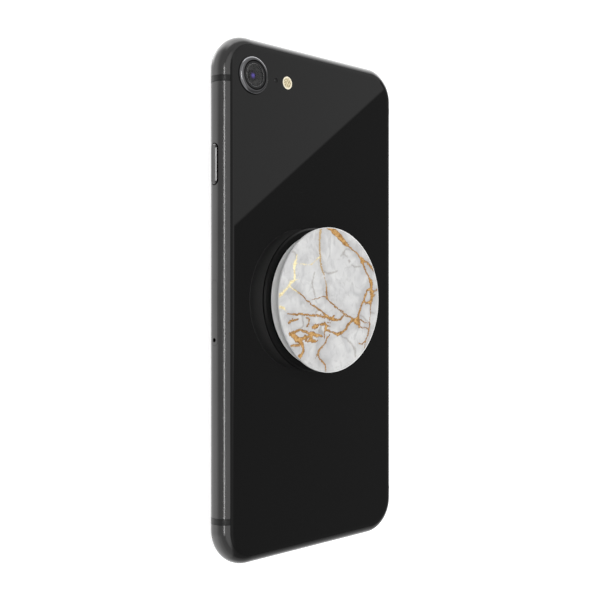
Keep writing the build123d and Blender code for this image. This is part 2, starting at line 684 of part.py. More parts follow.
with BuildPart() as volume_down_button:
    add(side_button(1, VOLUME_DOWN_Y))
save(volume_down_button.part, "volume_down_button")

with BuildPart() as button_switches:
    for side, middle, length, domes in (
        (-1, POWER_Y, 10.8, [POWER_Y]),
        (1, (VOLUME_UP_Y + VOLUME_DOWN_Y) / 2, 23.4, [VOLUME_UP_Y, VOLUME_DOWN_Y]),
    ):
        with BuildSketch(Plane.YZ.offset(side * SWITCH_X)):
            with Locations((middle, MID)):
                RectangleRounded(length, SWITCH_WIDTH, 0.4)
        extrude(amount=side * SWITCH_THICK)
        with BuildSketch(Plane.YZ.offset(side * (SWITCH_X + SWITCH_THICK))):
            with Locations(*[(dome, MID) for dome in domes]):
                Circle(DOME_RADIUS)
        extrude(amount=side * DOME_HEIGHT)
save(button_switches.part, "button_switches")

with BuildPart() as mute_switch:
    slider_length, slider_width, slider_thick = MUTE_SLIDER
    with BuildSketch(Plane.YZ.offset(MUTE_SLIDER_X)):
        with Locations((MUTE_Y, MUTE_LEVER_Z)):
            RectangleRounded(slider_length, slider_width, 0.5)
    extrude(amount=slider_thick)
    with BuildSketch(Plane.YZ.offset(MUTE_SLIDER_X)):
        with Locations((MUTE_Y, MUTE_LEVER_Z)):
            SlotOverall(*MUTE_LEVER)
    extrude(amount=SIDE + MUTE_PROUD - MUTE_SLIDER_X)
    fillet(mute_switch.faces().sort_by(Axis.X)[-1].edges(), 0.2)
save(mute_switch.part, "mute_switch")

with BuildPart() as mute_switch_housing:
    add(block((30.35, 31.0), (MUTE_Y - 3.4, MUTE_Y + 3.4), (MID - 1.75, MID + 1.75), 0.3))
save(mute_switch_housing.part, "mute_switch_housing")

# ---- haptic motor and loudspeaker ----------------------------------------------------------------
HAPTIC_X = (-6.0, 28.5)
HAPTIC_Y = (-57.5, -44.0)
HAPTIC_Z = (2.6, BOARD_TOP)
HAPTIC_WALL = 0.4
HAPTIC_LID = 0.3
MASS_CLEAR_X = 2.25  # room for the mass to swing, from the housing's outside
MASS_CLEAR_Y = 1.1

with BuildPart() as haptic_motor_housing:
    add(block(HAPTIC_X, HAPTIC_Y, HAPTIC_Z, 1.0))
    with BuildSketch(Plane.XY.offset(HAPTIC_Z[0] + HAPTIC_LID)):
        with Locations((sum(HAPTIC_X) / 2, sum(HAPTIC_Y) / 2)):
            inside_x = HAPTIC_X[1] - HAPTIC_X[0] - 2 * HAPTIC_WALL
            inside_y = HAPTIC_Y[1] - HAPTIC_Y[0] - 2 * HAPTIC_WALL
            RectangleRounded(inside_x, inside_y, 0.6)
    extrude(amount=HAPTIC_Z[1] - HAPTIC_Z[0] - 2 * HAPTIC_LID, mode=Mode.SUBTRACT)
save(haptic_motor_housing.part, "haptic_motor_housing")

with BuildPart() as haptic_mass:
    mass_x = (HAPTIC_X[0] + MASS_CLEAR_X, HAPTIC_X[1] - MASS_CLEAR_X)
    mass_y = (HAPTIC_Y[0] + MASS_CLEAR_Y, HAPTIC_Y[1] - MASS_CLEAR_Y)
    add(block(mass_x, mass_y, (HAPTIC_Z[0] + 0.6, HAPTIC_Z[1] - 0.6), 1.0))
save(haptic_mass.part, "haptic_mass")

with BuildPart() as loudspeaker:
    add(block((-28.3, -10.2), (-59.5, -43.5), (2.6, BOARD_TOP), 2.0))
    add(block((-22.8, -11.0), (-66.2, -59.5), (2.6, 4.8), 0.3))
save(loudspeaker.part, "loudspeaker")

# ---- bottom edge ---------------------------------------------------------------------------------
with BuildPart() as charge_port_connector:
    add(block((-6.3, 6.3), (PORT_MOUTH_Y, -58.3), (2.15, BOARD_TOP), 0.5))
    with BuildSketch(Plane.XZ.offset(-PORT_MOUTH_Y)):
        with Locations((0, MID)):
            SlotOverall(PORT_LENGTH - PORT_SHELL_GAP[0], PORT_WIDTH - PORT_SHELL_GAP[1])
    extrude(amount=-PORT_DEPTH, mode=Mode.SUBTRACT)
save(charge_port_connector.part, "charge_port_connector")

with BuildPart() as charge_port_contacts:
    contact_z = (PORT_WIDTH - PORT_SHELL_GAP[1] - CONTACT_THICK) / 2
    with BuildSketch(Plane.XZ.offset(-PORT_MOUTH_Y - 1)):
        with Locations((0, MID)):
            with GridLocations(CONTACT_PITCH, 2 * contact_z, CONTACTS_PER_SIDE, 2):
                Rectangle(0.4, CONTACT_THICK)
    extrude(amount=-4.5)
save(charge_port_contacts.part, "charge_port_contacts")

with BuildPart() as charge_port_flex:
    with BuildSketch(Plane.XY.offset(BOARD_TOP)):
        with Locations((0, -62.2)):
            Rectangle(12.2, 7.6)
        with Locations((-7.0, -50.0)):
            Rectangle(5.0, 17.0)
        with Locations((-10.0, -39.0)):
            Rectangle(11.0, 6.0)
    extrude(amount=0.15)
save(charge_port_flex.part, "charge_port_flex")

with BuildPart() as bottom_microphones:
    for x in (-9.3, 9.3):
        add(block((x - 1.1, x + 1.1), (-66.4, -65.1), (2.7, 4.6), 0.2))
save(bottom_microphones.part, "bottom_microphones")

with BuildPart() as grille_meshes:
    grille_middle = GRILLE_START + (GRILLE_HOLES - 1) * GRILLE_PITCH / 2
    for x in (-grille_middle, grille_middle):
        add(block((x - 6.2, x + 6.2), (-INNER_END + 0.05, -INNER_END + 0.3), (MID - 1.15, MID + 1.15), 0.05))
save(grille_meshes.part, "grille_meshes")

with BuildPart() as bottom_screws:
    with BuildSketch(Plane.XZ.offset(END - SCREW_RECESS)):
        with Locations((-SCREW_X, MID), (SCREW_X, MID)):
            Circle(SCREW_HEAD)
    extrude(amount=-SCREW_HEAD_THICK)
    with BuildSketch(Plane.XZ.offset(END - SCREW_RECESS - SCREW_HEAD_THICK)):
        with Locations((-SCREW_X, MID), (SCREW_X, MID)):
            Circle(SCREW_SHANK)
    extrude(amount=-SCREW_LENGTH)
    # five-lobed driver recess
    with BuildSketch(Plane.XZ.offset(END - SCREW_RECESS)):
        for x in (-SCREW_X, SCREW_X):
            with Locations((x, MID)):
                Circle(0.26)
                with PolarLocations(0.26, 5):
                    Circle(0.13)
    extrude(amount=-0.4, mode=Mode.SUBTRACT)
save(bottom_screws.part, "bottom_screws")

# ---- collapsible grip ----------------------------------------------------------------------------
def accordion_wall(radii, z):
    """A cone-shaped ring of the accordion: middle radii at its lower and upper end."""
    half = WALL_THICK / 2
    low, high = radii
    return turned([(low - half, z[0]), (low + half, z[0]), (high + half, z[1]), (high - half, z[1])])


with BuildPart() as grip_adhesive_pad:
    add(disc((0, 0), PAD_RADIUS, (GRIP_BASE, PAD_TOP)))
save(grip_adhesive_pad.part, "grip_adhesive_pad")

with BuildPart() as grip_platform:
    add(disc((0, 0), PLATFORM_RADIUS, (PAD_TOP, PLATFORM_TOP)))
    chamfer(grip_platform.edges().group_by(Axis.Z)[-1], 0.45)
    fillet(grip_platform.edges().group_by(Axis.Z)[-1], 0.2)
save(grip_platform.part, "grip_platform")

with BuildPart() as grip_base_wall:
    add(accordion_wall(BASE_WALL, (PLATFORM_TOP, WALL_TOP)))
save(grip_base_wall.part, "grip_base_wall")

with BuildPart() as grip_lower_fold:
    add(accordion_wall(LOWER_FOLD, (WALL_BOTTOM, WALL_TOP)))
save(grip_lower_fold.part, "grip_lower_fold")

with BuildPart() as grip_middle_wall:
    add(accordion_wall(MIDDLE_WALL, (WALL_BOTTOM, WALL_TOP)))
save(grip_middle_wall.part, "grip_middle_wall")

with BuildPart() as grip_upper_fold:
    add(accordion_wall(UPPER_FOLD, (WALL_BOTTOM, WALL_TOP)))
save(grip_upper_fold.part, "grip_upper_fold")

with BuildPart() as grip_hub:
    add(accordion_wall(UPPER_WALL, (WALL_BOTTOM, WALL_TOP)))
    with BuildSketch(Plane.XY.offset(WALL_TOP - HUB_PLATE)):
        Circle(UPPER_WALL[1] + 0.2)
    extrude(amount=HUB_PLATE)
    with BuildSketch(Plane.XY.offset(WALL_TOP)):
        Circle(HUB_STUB)
    extrude(amount=HUB_STUB_HEIGHT)
save(grip_hub.part, "grip_hub")

with BuildPart() as grip_top_shell:
    with BuildSketch(Plane.XZ):
        with BuildLine():
            foot = (SKIRT_RADIUS, SHELL_BOTTOM)
            lip = (GRIP_RADIUS, GRIP_TOP - LIP_HEIGHT)
            Polyline(foot, (0, SHELL_BOTTOM), (0, GRIP_TOP), (GRIP_RADIUS, GRIP_TOP), lip)
            Spline(foot, lip, tangents=((0, 1), (1, 0.9)))
        make_face()
    revolve(axis=Axis.Z)
    fillet(grip_top_shell.edges().group_by(Axis.Z)[-1], 0.14)
    fillet(grip_top_shell.edges().group_by(Axis.Z)[0], 0.22)
    cut_disc((0, 0), SHELL_INSIDE, (SHELL_BOTTOM, SHELL_CEILING))
    cut_disc((0, 0), HUB_STUB + 0.1, (SHELL_CEILING, SHELL_CEILING + 0.6))
    cut_disc((0, 0), GRIP_RADIUS - RIM_WIDTH, (GRIP_TOP - INSERT_THICK, GRIP_TOP))
save(grip_top_shell.part, "grip_top_shell")

with BuildPart() as grip_top_insert:
    add(disc((0, 0), GRIP_RADIUS - RIM_WIDTH - INSERT_PLAY, (GRIP_TOP - INSERT_THICK, GRIP_TOP)))
    fillet(grip_top_insert.edges().group_by(Axis.Z)[-1], 0.08)
save(grip_top_insert.part, "grip_top_insert")
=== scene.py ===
"""Smartphone on its screen with a collapsible grip on its back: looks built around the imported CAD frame.

Metres. X across the phone, Y along it towards the camera end, Z up out of the back.
"""
import json
import math

import bpy
import numpy as np
from mathutils import Matrix, Vector, noise


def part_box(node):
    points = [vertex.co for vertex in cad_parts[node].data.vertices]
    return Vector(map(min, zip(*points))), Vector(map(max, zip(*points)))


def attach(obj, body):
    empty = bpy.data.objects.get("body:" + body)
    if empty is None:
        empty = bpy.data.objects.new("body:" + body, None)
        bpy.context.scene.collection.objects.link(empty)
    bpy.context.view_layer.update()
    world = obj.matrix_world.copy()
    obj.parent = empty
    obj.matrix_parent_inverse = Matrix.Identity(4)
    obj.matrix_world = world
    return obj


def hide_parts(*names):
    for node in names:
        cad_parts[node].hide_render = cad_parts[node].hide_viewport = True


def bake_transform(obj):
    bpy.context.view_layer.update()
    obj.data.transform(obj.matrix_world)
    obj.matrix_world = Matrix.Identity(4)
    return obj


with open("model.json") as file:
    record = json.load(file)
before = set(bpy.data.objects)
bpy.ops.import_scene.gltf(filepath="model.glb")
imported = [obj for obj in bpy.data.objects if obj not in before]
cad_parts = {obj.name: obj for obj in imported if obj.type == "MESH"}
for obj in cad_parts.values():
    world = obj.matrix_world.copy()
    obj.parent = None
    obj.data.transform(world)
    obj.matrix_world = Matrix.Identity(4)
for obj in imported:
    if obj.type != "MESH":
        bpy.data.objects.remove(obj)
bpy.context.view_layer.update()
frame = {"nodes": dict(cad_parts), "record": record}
nodes = frame["nodes"]
MM = 0.001


def middle(name):
    low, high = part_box(name)
    return (low + high) / 2


phone_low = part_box("cover_glass")[0]
back_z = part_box("rear_glass")[1].z
camera_centre = middle("camera_ring")
flash_centre = middle("flash_window")
break_y = (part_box("antenna_breaks")[1].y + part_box("chassis")[1].y) / 2

# ---- shader helpers ------------------------------------------------------------------------------


class Shader:
    """One node material: a Principled shader and short calls that add texture nodes before it."""

    def __init__(self, name, **constants):
        self.material = bpy.data.materials.new(name)
        self.material.use_nodes = True
        self.tree = self.material.node_tree
        self.tree.nodes.clear()
        output = self.tree.nodes.new("ShaderNodeOutputMaterial")
        self.bsdf = self.tree.nodes.new("ShaderNodeBsdfPrincipled")
        self.tree.links.new(self.bsdf.outputs["BSDF"], output.inputs["Surface"])
        self.set(**constants)
        coordinates = self.tree.nodes.new("ShaderNodeTexCoord")
        self.place = coordinates.outputs["Object"]

    def set(self, **constants):
        """Sets constant inputs of the Principled shader; an underscore stands for a space."""
        for key, value in constants.items():
            socket = self.bsdf.inputs[key.replace("_", " ")]
            socket.default_value = (*value, 1.0) if socket.type == "RGBA" and len(value) == 3 else value

    def link(self, value, key):
        self.tree.links.new(value, self.bsdf.inputs[key])

    def make(self, kind, inputs=None, **settings):
        made = self.tree.nodes.new(kind)
        for key, value in settings.items():
            setattr(made, key, value)
        for key, value in (inputs or {}).items():
            if isinstance(value, bpy.types.NodeSocket):
                self.tree.links.new(value, made.inputs[key])
            elif value is not None:
                made.inputs[key].default_value = value
        return made

    def stretch(self, scale, rotation=(0, 0, 0)):
        """The object coordinates, stretched along an axis."""
        inputs = {"Vector": self.place, "Scale": scale, "Rotation": rotation}
        return self.make("ShaderNodeMapping", inputs).outputs["Vector"]

    def noise(self, size, detail=2.0, roughness=0.5, distortion=0.0, vector=None):
        """Noise from 0 to 1 with features about size metres across."""
        inputs = {"Vector": vector or self.place, "Scale": 1 / size, "Detail": detail,
                  "Roughness": roughness, "Distortion": distortion}
        return self.make("ShaderNodeTexNoise", inputs).outputs["Fac"]

    def cells(self, size, feature="F1", vector=None, output="Distance"):
        inputs = {"Vector": vector or self.place, "Scale": 1 / size}
        return self.make("ShaderNodeTexVoronoi", inputs, feature=feature).outputs[output]

    def math(self, operation, a, b=None, clamp=False):
        made = self.make("ShaderNodeMath", {0: a, 1: b}, operation=operation, use_clamp=clamp)
        return made.outputs[0]

    def spread(self, value, low, high, new_low=0.0, new_high=1.0):
        """Maps low..high of a value to new_low..new_high, clamped."""
        inputs = {"Value": value, "From Min": low, "From Max": high, "To Min": new_low, "To Max": new_high}
        return self.make("ShaderNodeMapRange", inputs).outputs["Result"]

    def colours(self, factor, *stops):
        """A colour ramp with (position, colour) stops."""
        made = self.make("ShaderNodeValToRGB", {"Fac": factor})
        ramp = made.color_ramp
        while len(ramp.elements) < len(stops):
            ramp.elements.new(0.5)
        for element, (position, colour) in zip(ramp.elements, stops):
            element.position = position
            element.color = (*colour, 1.0)
        return made.outputs["Color"]

    def blend(self, factor, a, b):
        """Colour a where factor is 0, b where it is 1."""
        made = self.make("ShaderNodeMix", {"Factor": factor}, data_type="RGBA")
        for socket, value in ((made.inputs[6], a), (made.inputs[7], b)):
            if isinstance(value, bpy.types.NodeSocket):
                self.tree.links.new(value, socket)
            else:
                socket.default_value = (*value, 1.0)
        return made.outputs[2]

    def bump(self, height, depth, strength=1.0, normal=None):
        """Bumps the surface by a height from 0 to 1 that stands for depth metres."""
        inputs = {"Height": height, "Distance": depth, "Strength": strength, "Normal": normal}
        made = self.make("ShaderNodeBump", inputs)
        self.link(made.outputs["Normal"], "Normal")
        return made.outputs["Normal"]

    def attribute(self, name):
        return self.make("ShaderNodeAttribute", attribute_name=name).outputs["Fac"]

    def split(self, vector=None):
        """X, Y and Z of the object coordinates."""
        return self.make("ShaderNodeSeparateXYZ", {"Vector": vector or self.place}).outputs

    def from_axis(self, centre=(0, 0)):
        """Distance from an upright axis."""
        x, y, _ = self.split()
        dx = self.math("SUBTRACT", x, centre[0])
        dy = self.math("SUBTRACT", y, centre[1])
        squares = self.math("ADD", self.math("MULTIPLY", dx, dx), self.math("MULTIPLY", dy, dy))
        return self.math("SQRT", squares)

    def facing_up(self):
        """Z of the surface's own normal in the object's frame: 1 on a flat top."""
        coordinates = self.make("ShaderNodeTexCoord")
        return self.split(coordinates.outputs["Normal"])[2]


def tint(colour, share):
    return tuple(min(1.0, share * c) for c in colour)


# ---- materials -----------------------------------------------------------------------------------


def anodised(name, colour, roughness=0.185):
    """Blasted and anodised aluminium: even dark grey with a very fine grain."""
    made = Shader(name, Metallic=1.0)
    grain = made.noise(0.10 * MM, detail=3)
    cloud = made.noise(7 * MM, detail=3)
    mixed = made.math("ADD", made.math("MULTIPLY", grain, 0.4), made.math("MULTIPLY", cloud, 0.6))
    made.link(made.colours(mixed, (0.3, tint(colour, 0.94)), (0.7, tint(colour, 1.06))), "Base Color")
    made.link(made.spread(cloud, 0.3, 0.7, roughness - 0.015, roughness + 0.02), "Roughness")
    made.bump(grain, 0.0001 * MM, 0.5)
    return made.material


def polished_ring(name):
    """Machined camera ring with painted light: shoulder coloured brighter, flat top coloured darker, with
    fine turning lines.
    """
    made = Shader(name, Metallic=1.0)
    radius = made.from_axis(camera_centre.xy)
    turning = made.math("SINE", made.math("MULTIPLY", radius, 2 * math.pi / (0.06 * MM)))
    grain = made.noise(0.08 * MM, detail=2)
    # painted light: the flat top takes a darker colour and the rounded shoulder a brighter one, standing in
    # for what they mirror
    flat = made.spread(made.facing_up(), 0.93, 0.995)
    shoulder = made.colours(grain, (0.3, (0.22, 0.22, 0.23)), (0.7, (0.27, 0.27, 0.28)))
    made.link(made.blend(flat, shoulder, (0.17, 0.17, 0.175)), "Base Color")
    made.link(made.spread(flat, 0, 1, 0.12, 0.20), "Roughness")
    made.bump(made.spread(turning, -1, 1), 0.0002 * MM, 0.4)
    return made.material


def break_plastic(name):
    """Antenna break: dark moulded plastic, darker along both joints with the metal."""
    made = Shader(name, IOR=1.44)
    y = made.split()[1]
    from_middle = made.math("ABSOLUTE", made.math("SUBTRACT", made.math("ABSOLUTE", y), break_y))
    edge = made.spread(from_middle, 0.40 * MM, 0.62 * MM)
    grain = made.noise(0.12 * MM, detail=2)
    inner = made.colours(grain, (0.3, (0.014, 0.014, 0.0145)), (0.7, (0.021, 0.021, 0.0215)))
    made.link(made.blend(edge, inner, (0.003, 0.003, 0.003)), "Base Color")
    made.link(made.spread(grain, 0.3, 0.7, 0.28, 0.36), "Roughness")
    made.bump(grain, 0.001 * MM, 0.5)
    return made.material


def polished_black_glass(name):
    """Clear glass over black paint: deep black, mirror smooth, with the faintest wipe marks."""
    made = Shader(name, Base_Color=(0.0030, 0.0030, 0.0030), IOR=1.5)
    wipe = made.noise(9 * MM, detail=4, roughness=0.6, vector=made.stretch((1, 0.25, 1), (0, 0, 0.5)))
    made.link(made.spread(wipe, 0.35, 0.75, 0.0, 0.010), "Roughness")
    return made.material


def moulded(name, colour, roughness=0.45, grain_size=0.12, depth=0.004, variation=0.06, ior=1.48):
    """Moulded plastic with a fine spark-eroded texture; grain_size and depth in millimetres."""
    made = Shader(name, IOR=ior)
    grain = made.noise(grain_size * MM, detail=2)
    cloud = made.noise(5 * MM, detail=3)
    dark, light = tint(colour, 1 - variation), tint(colour, 1 + variation)
    made.link(made.colours(cloud, (0.3, dark), (0.7, light)), "Base Color")
    made.link(made.spread(grain, 0.3, 0.7, roughness - 0.04, roughness + 0.06), "Roughness")
    made.bump(grain, depth * MM, 0.5)
    return made.material


def moulded_shell(name):
    """White satin grip shell with painted shade: whiter at its foot than under the lip, its rim painted
    greyer to the left.
    """
    made = Shader(name, IOR=1.48)
    low, high = (corner.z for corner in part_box("grip_top_shell"))
    grain = made.noise(0.15 * MM, detail=2)
    x, _, z = made.split()
    height = made.spread(z, low, high)
    cloud = made.math("MULTIPLY", made.noise(6 * MM, detail=3), 0.12)
    shade = made.math("ADD", height, made.math("SUBTRACT", cloud, 0.06))
    # painted shade: the side's colour darkens from its foot up to the lip
    painted_skirt_shade = made.colours(shade, (0.0, (0.95, 0.95, 0.94)), (0.30, (0.75, 0.75, 0.745)),
                         (0.60, (0.58, 0.58, 0.575)), (0.86, (0.42, 0.42, 0.42)))
    # painted shade: the rim's colour greys towards the left, away from the light
    across = made.spread(x, -15 * MM, 12 * MM)
    rim = made.colours(across, (0.0, (0.36, 0.36, 0.36)), (1.0, (0.88, 0.88, 0.87)))
    made.link(made.blend(made.spread(height, 0.93, 0.95), painted_skirt_shade, rim), "Base Color")
    made.link(made.spread(grain, 0.3, 0.7, 0.26, 0.36), "Roughness")
    made.bump(grain, 0.002 * MM, 0.5)
    return made.material


def sheet_metal(name, colour, roughness=0.3, brush=(1, 0.05, 1)):
    """Rolled or pressed metal with fine lines along Y."""
    made = Shader(name, Metallic=1.0)
    lines = made.noise(0.12 * MM, detail=3, vector=made.stretch(brush))
    made.link(made.colours(lines, (0.3, tint(colour, 0.85)), (0.7, colour)), "Base Color")
    made.link(made.spread(lines, 0.3, 0.7, roughness - 0.05, roughness + 0.1), "Roughness")
    made.bump(lines, 0.001 * MM, 0.4)
    return made.material


def wound_copper(name):
    """Flat coil: concentric turns of lacquered wire, with painted shade in the troughs between turns."""
    made = Shader(name, Metallic=1.0)
    turn = made.math("MULTIPLY", made.from_axis(), 2 * math.pi / (0.42 * MM))
    height = made.spread(made.math("SINE", turn), -1, 1)
    grain = made.noise(1.5 * MM, detail=3)
    copper = made.colours(grain, (0.3, (0.62, 0.27, 0.12)), (0.7, (0.78, 0.40, 0.20)))
    # painted shade: the troughs between turns are coloured near black
    made.link(made.blend(made.spread(height, 0.0, 0.35), (0.10, 0.04, 0.02), copper), "Base Color")
    made.link(made.spread(grain, 0.3, 0.7, 0.22, 0.32), "Roughness")
    made.bump(height, 0.12 * MM, 0.8)
    return made.material


def woven_mesh(name):
    """Fine woven wire behind an opening."""
    made = Shader(name, Metallic=1.0)
    x, y, z = made.split()
    pitch = 2 * math.pi / (0.16 * MM)
    warp = made.math("SINE", made.math("MULTIPLY", made.math("ADD", x, y), pitch))
    weft = made.math("SINE", made.math("MULTIPLY", made.math("ADD", z, made.math("SUBTRACT", x, y)), pitch))
    weave = made.spread(made.math("MULTIPLY", warp, weft), -0.6, 0.6)
    wire = made.colours(weave, (0.2, (0.02, 0.02, 0.02)), (0.8, (0.22, 0.22, 0.225)))
    made.link(wire, "Base Color")
    made.link(made.spread(weave, 0, 1, 0.6, 0.35), "Roughness")
    made.bump(weave, 0.05 * MM, 0.7)
    return made.material


def printed_board(name):
    """Circuit board: dark solder mask with fine tracks and small bright pads."""
    made = Shader(name, IOR=1.5)
    tracks = made.cells(0.9 * MM, "DISTANCE_TO_EDGE", made.stretch((1, 1, 0)))
    pads = made.cells(0.8 * MM, "F1", made.stretch((1, 1, 0)))
    board = made.colours(tracks, (0.03, (0.030, 0.040, 0.055)), (0.10, (0.009, 0.012, 0.018)))
    pad = made.math("LESS_THAN", pads, 0.16)
    made.link(made.blend(pad, board, (0.55, 0.42, 0.20)), "Base Color")
    made.link(made.math("MULTIPLY", pad, 0.9), "Metallic")
    made.link(made.spread(made.noise(0.6 * MM), 0.3, 0.7, 0.22, 0.36), "Roughness")
    made.bump(made.spread(tracks, 0.02, 0.08, 1, 0), 0.03 * MM, 0.5)
    return made.material


def foil_wrap(name):
    """Battery pouch: dark foil with soft creases."""
    made = Shader(name, IOR=1.45)
    crease = made.noise(6 * MM, detail=5, roughness=0.62, distortion=0.6)
    made.link(made.colours(crease, (0.3, (0.014, 0.014, 0.015)), (0.7, (0.030, 0.030, 0.032))), "Base Color")
    made.link(made.spread(crease, 0.3, 0.7, 0.28, 0.42), "Roughness")
    made.bump(crease, 0.12 * MM, 0.5)
    return made.material


def clear_glass(name, ior=1.5):
    """Polished clear glass with a trace of haze."""
    made = Shader(name, Base_Color=(1, 1, 1), IOR=ior, Transmission_Weight=1.0)
    made.link(made.spread(made.noise(4 * MM, detail=3), 0.4, 0.8, 0.0, 0.015), "Roughness")
    return made.material


WINDOW_RADIUS = 2.95 * MM  # clear middle of the camera cover
MARGIN_RADIUS = 3.50 * MM  # where the mask turns matt black


def masked_glass(name):
    """Camera cover: coated clear glass with a black printed mask round its window."""
    made = Shader(name)
    radius = made.from_axis(camera_centre.xy)
    window = made.spread(radius, WINDOW_RADIUS, WINDOW_RADIUS + 0.05 * MM, 1, 0)
    margin = made.spread(radius, MARGIN_RADIUS, MARGIN_RADIUS + 0.10 * MM)
    made.link(made.spread(margin, 0, 1, 1.36, 1.10), "IOR")
    made.link(window, "Transmission Weight")
    mask = made.blend(margin, (0.013, 0.013, 0.0135), (0.002, 0.002, 0.002))
    made.link(made.blend(window, mask, (1, 1, 1)), "Base Color")
    made.link(made.spread(made.noise(4 * MM, detail=3), 0.4, 0.8, 0.0, 0.015), "Roughness")
    return made.material


def coated_lens(name):
    """Front lens element: coated so that it hardly mirrors, with a painted violet reflection in its colour at
    its middle.
    """
    made = Shader(name, IOR=1.08)
    radius = made.math("MULTIPLY", made.from_axis(camera_centre.xy), 1 / (1.4 * MM))
    cloud = made.noise(0.25 * MM, detail=2)
    varied = made.math("ADD", radius, made.spread(cloud, 0.3, 0.7, -0.03, 0.03))
    # painted reflection: the colour turns violet towards the middle of the element
    made.link(made.colours(varied, (0.0, (0.115, 0.095, 0.46)), (0.30, (0.075, 0.050, 0.31)),
                           (0.46, (0.032, 0.017, 0.095)), (0.66, (0.007, 0.004, 0.013)),
                           (1.0, (0.003, 0.003, 0.004))), "Base Color")
    made.link(made.spread(cloud, 0.3, 0.7, 0.10, 0.16), "Roughness")
    return made.material


def pebbled_lens(name):
    """Flash lens: cream moulded optic, whiter at its rim, speckled in the middle."""
    made = Shader(name, IOR=1.49, Coat_Weight=0.5, Coat_Roughness=0.05)
    radius = made.from_axis(flash_centre.xy)
    speckle = made.cells(0.34 * MM, "F1")
    centre = made.colours(speckle, (0.12, (0.78, 0.69, 0.49)), (0.38, (0.62, 0.53, 0.34)),
                          (0.62, (0.26, 0.22, 0.12)))
    rim = made.spread(radius, 1.22 * MM, 1.50 * MM)
    made.link(made.blend(rim, centre, (0.82, 0.76, 0.60)), "Base Color")
    made.link(made.spread(speckle, 0, 0.6, 0.12, 0.25), "Roughness")
    return made.material


def printed_marble(name):
    """White marble print with gold veins; the veins' signed distances, in millimetres, are attributes."""
    made = Shader(name, IOR=1.5, Coat_Weight=0.25, Coat_Roughness=0.12)
    fray = made.noise(0.45 * MM, detail=4, roughness=0.66)
    flakes = made.noise(0.9 * MM, detail=3, distortion=0.8)
    ragged = made.spread(fray, 0.25, 0.75, -0.23, 0.28)

    def mask(value, low, high):
        return made.spread(value, low, high)

    # ground: soft grey clouds, denser close to the veins
    clouds = made.noise(7 * MM, detail=5, roughness=0.55, distortion=1.2)
    streaks = made.noise(3.2 * MM, detail=4, distortion=2.2, vector=made.stretch((1, 0.55, 1), (0, 0, 0.8)))
    ground = made.colours(clouds, (0.30, (0.43, 0.43, 0.435)), (0.47, (0.51, 0.51, 0.51)),
                          (0.62, (0.57, 0.57, 0.565)))
    streak = made.math("MULTIPLY", made.spread(streaks, 0.54, 0.70), 0.55)
    ground = made.blend(streak, ground, (0.34, 0.34, 0.345))
    near_gold = made.spread(made.attribute("gold"), -2.6, -0.2)
    halo = made.math("MULTIPLY", near_gold, made.spread(clouds, 0.35, 0.65, 0.85, 0.2))
    ground = made.blend(made.math("MULTIPLY", halo, 0.6), ground, (0.31, 0.30, 0.30))
    # hairline grey veins, laid and random
    grey = made.math("ADD", made.attribute("grey"), made.math("MULTIPLY", ragged, 0.7))
    ground = made.blend(made.math("MULTIPLY", mask(grey, -0.30, 0.12), 0.55), ground, (0.20, 0.175, 0.15))
    cracks = made.cells(6.5 * MM, "DISTANCE_TO_EDGE", made.stretch((1, 1, 0)))
    crack = made.math("MULTIPLY", made.spread(cracks, 0.0, 0.035, 1, 0), made.spread(flakes, 0.45, 0.7))
    ground = made.blend(made.math("MULTIPLY", crack, 0.30), ground, (0.24, 0.22, 0.19))
    # veins: brown edge, gold body with flakes, and a painted highlight of pale gold where the light catches
    # them
    gold = made.math("ADD", made.attribute("gold"), ragged)
    painted_glint = made.math("ADD", made.attribute("painted_glint"), ragged)
    body = made.colours(flakes, (0.32, (0.25, 0.125, 0.038)), (0.50, (0.50, 0.275, 0.090)),
                        (0.66, (0.68, 0.43, 0.18)))
    edged = made.blend(mask(gold, 0.05, 0.30), (0.245, 0.145, 0.075), body)
    tan = made.math("MULTIPLY", mask(made.attribute("tan"), -0.3, 0.1), 0.7)
    edged = made.blend(tan, edged, (0.55, 0.44, 0.27))
    light = made.colours(flakes, (0.35, (0.56, 0.43, 0.20)), (0.6, (0.86, 0.76, 0.42)))
    shown = made.blend(mask(gold, -0.03, 0.07), ground, edged)
    shown = made.blend(made.math("MULTIPLY", mask(painted_glint, -0.02, 0.14), 0.85), shown, light)
    made.link(shown, "Base Color")
    metal = mask(gold, 0.0, 0.1)
    made.link(made.math("MULTIPLY", metal, 0.22), "Metallic")
    made.link(made.spread(metal, 0, 1, 0.34, 0.27), "Roughness")
    made.bump(made.math("MULTIPLY", metal, flakes), 0.01 * MM, 0.35)
    return made.material


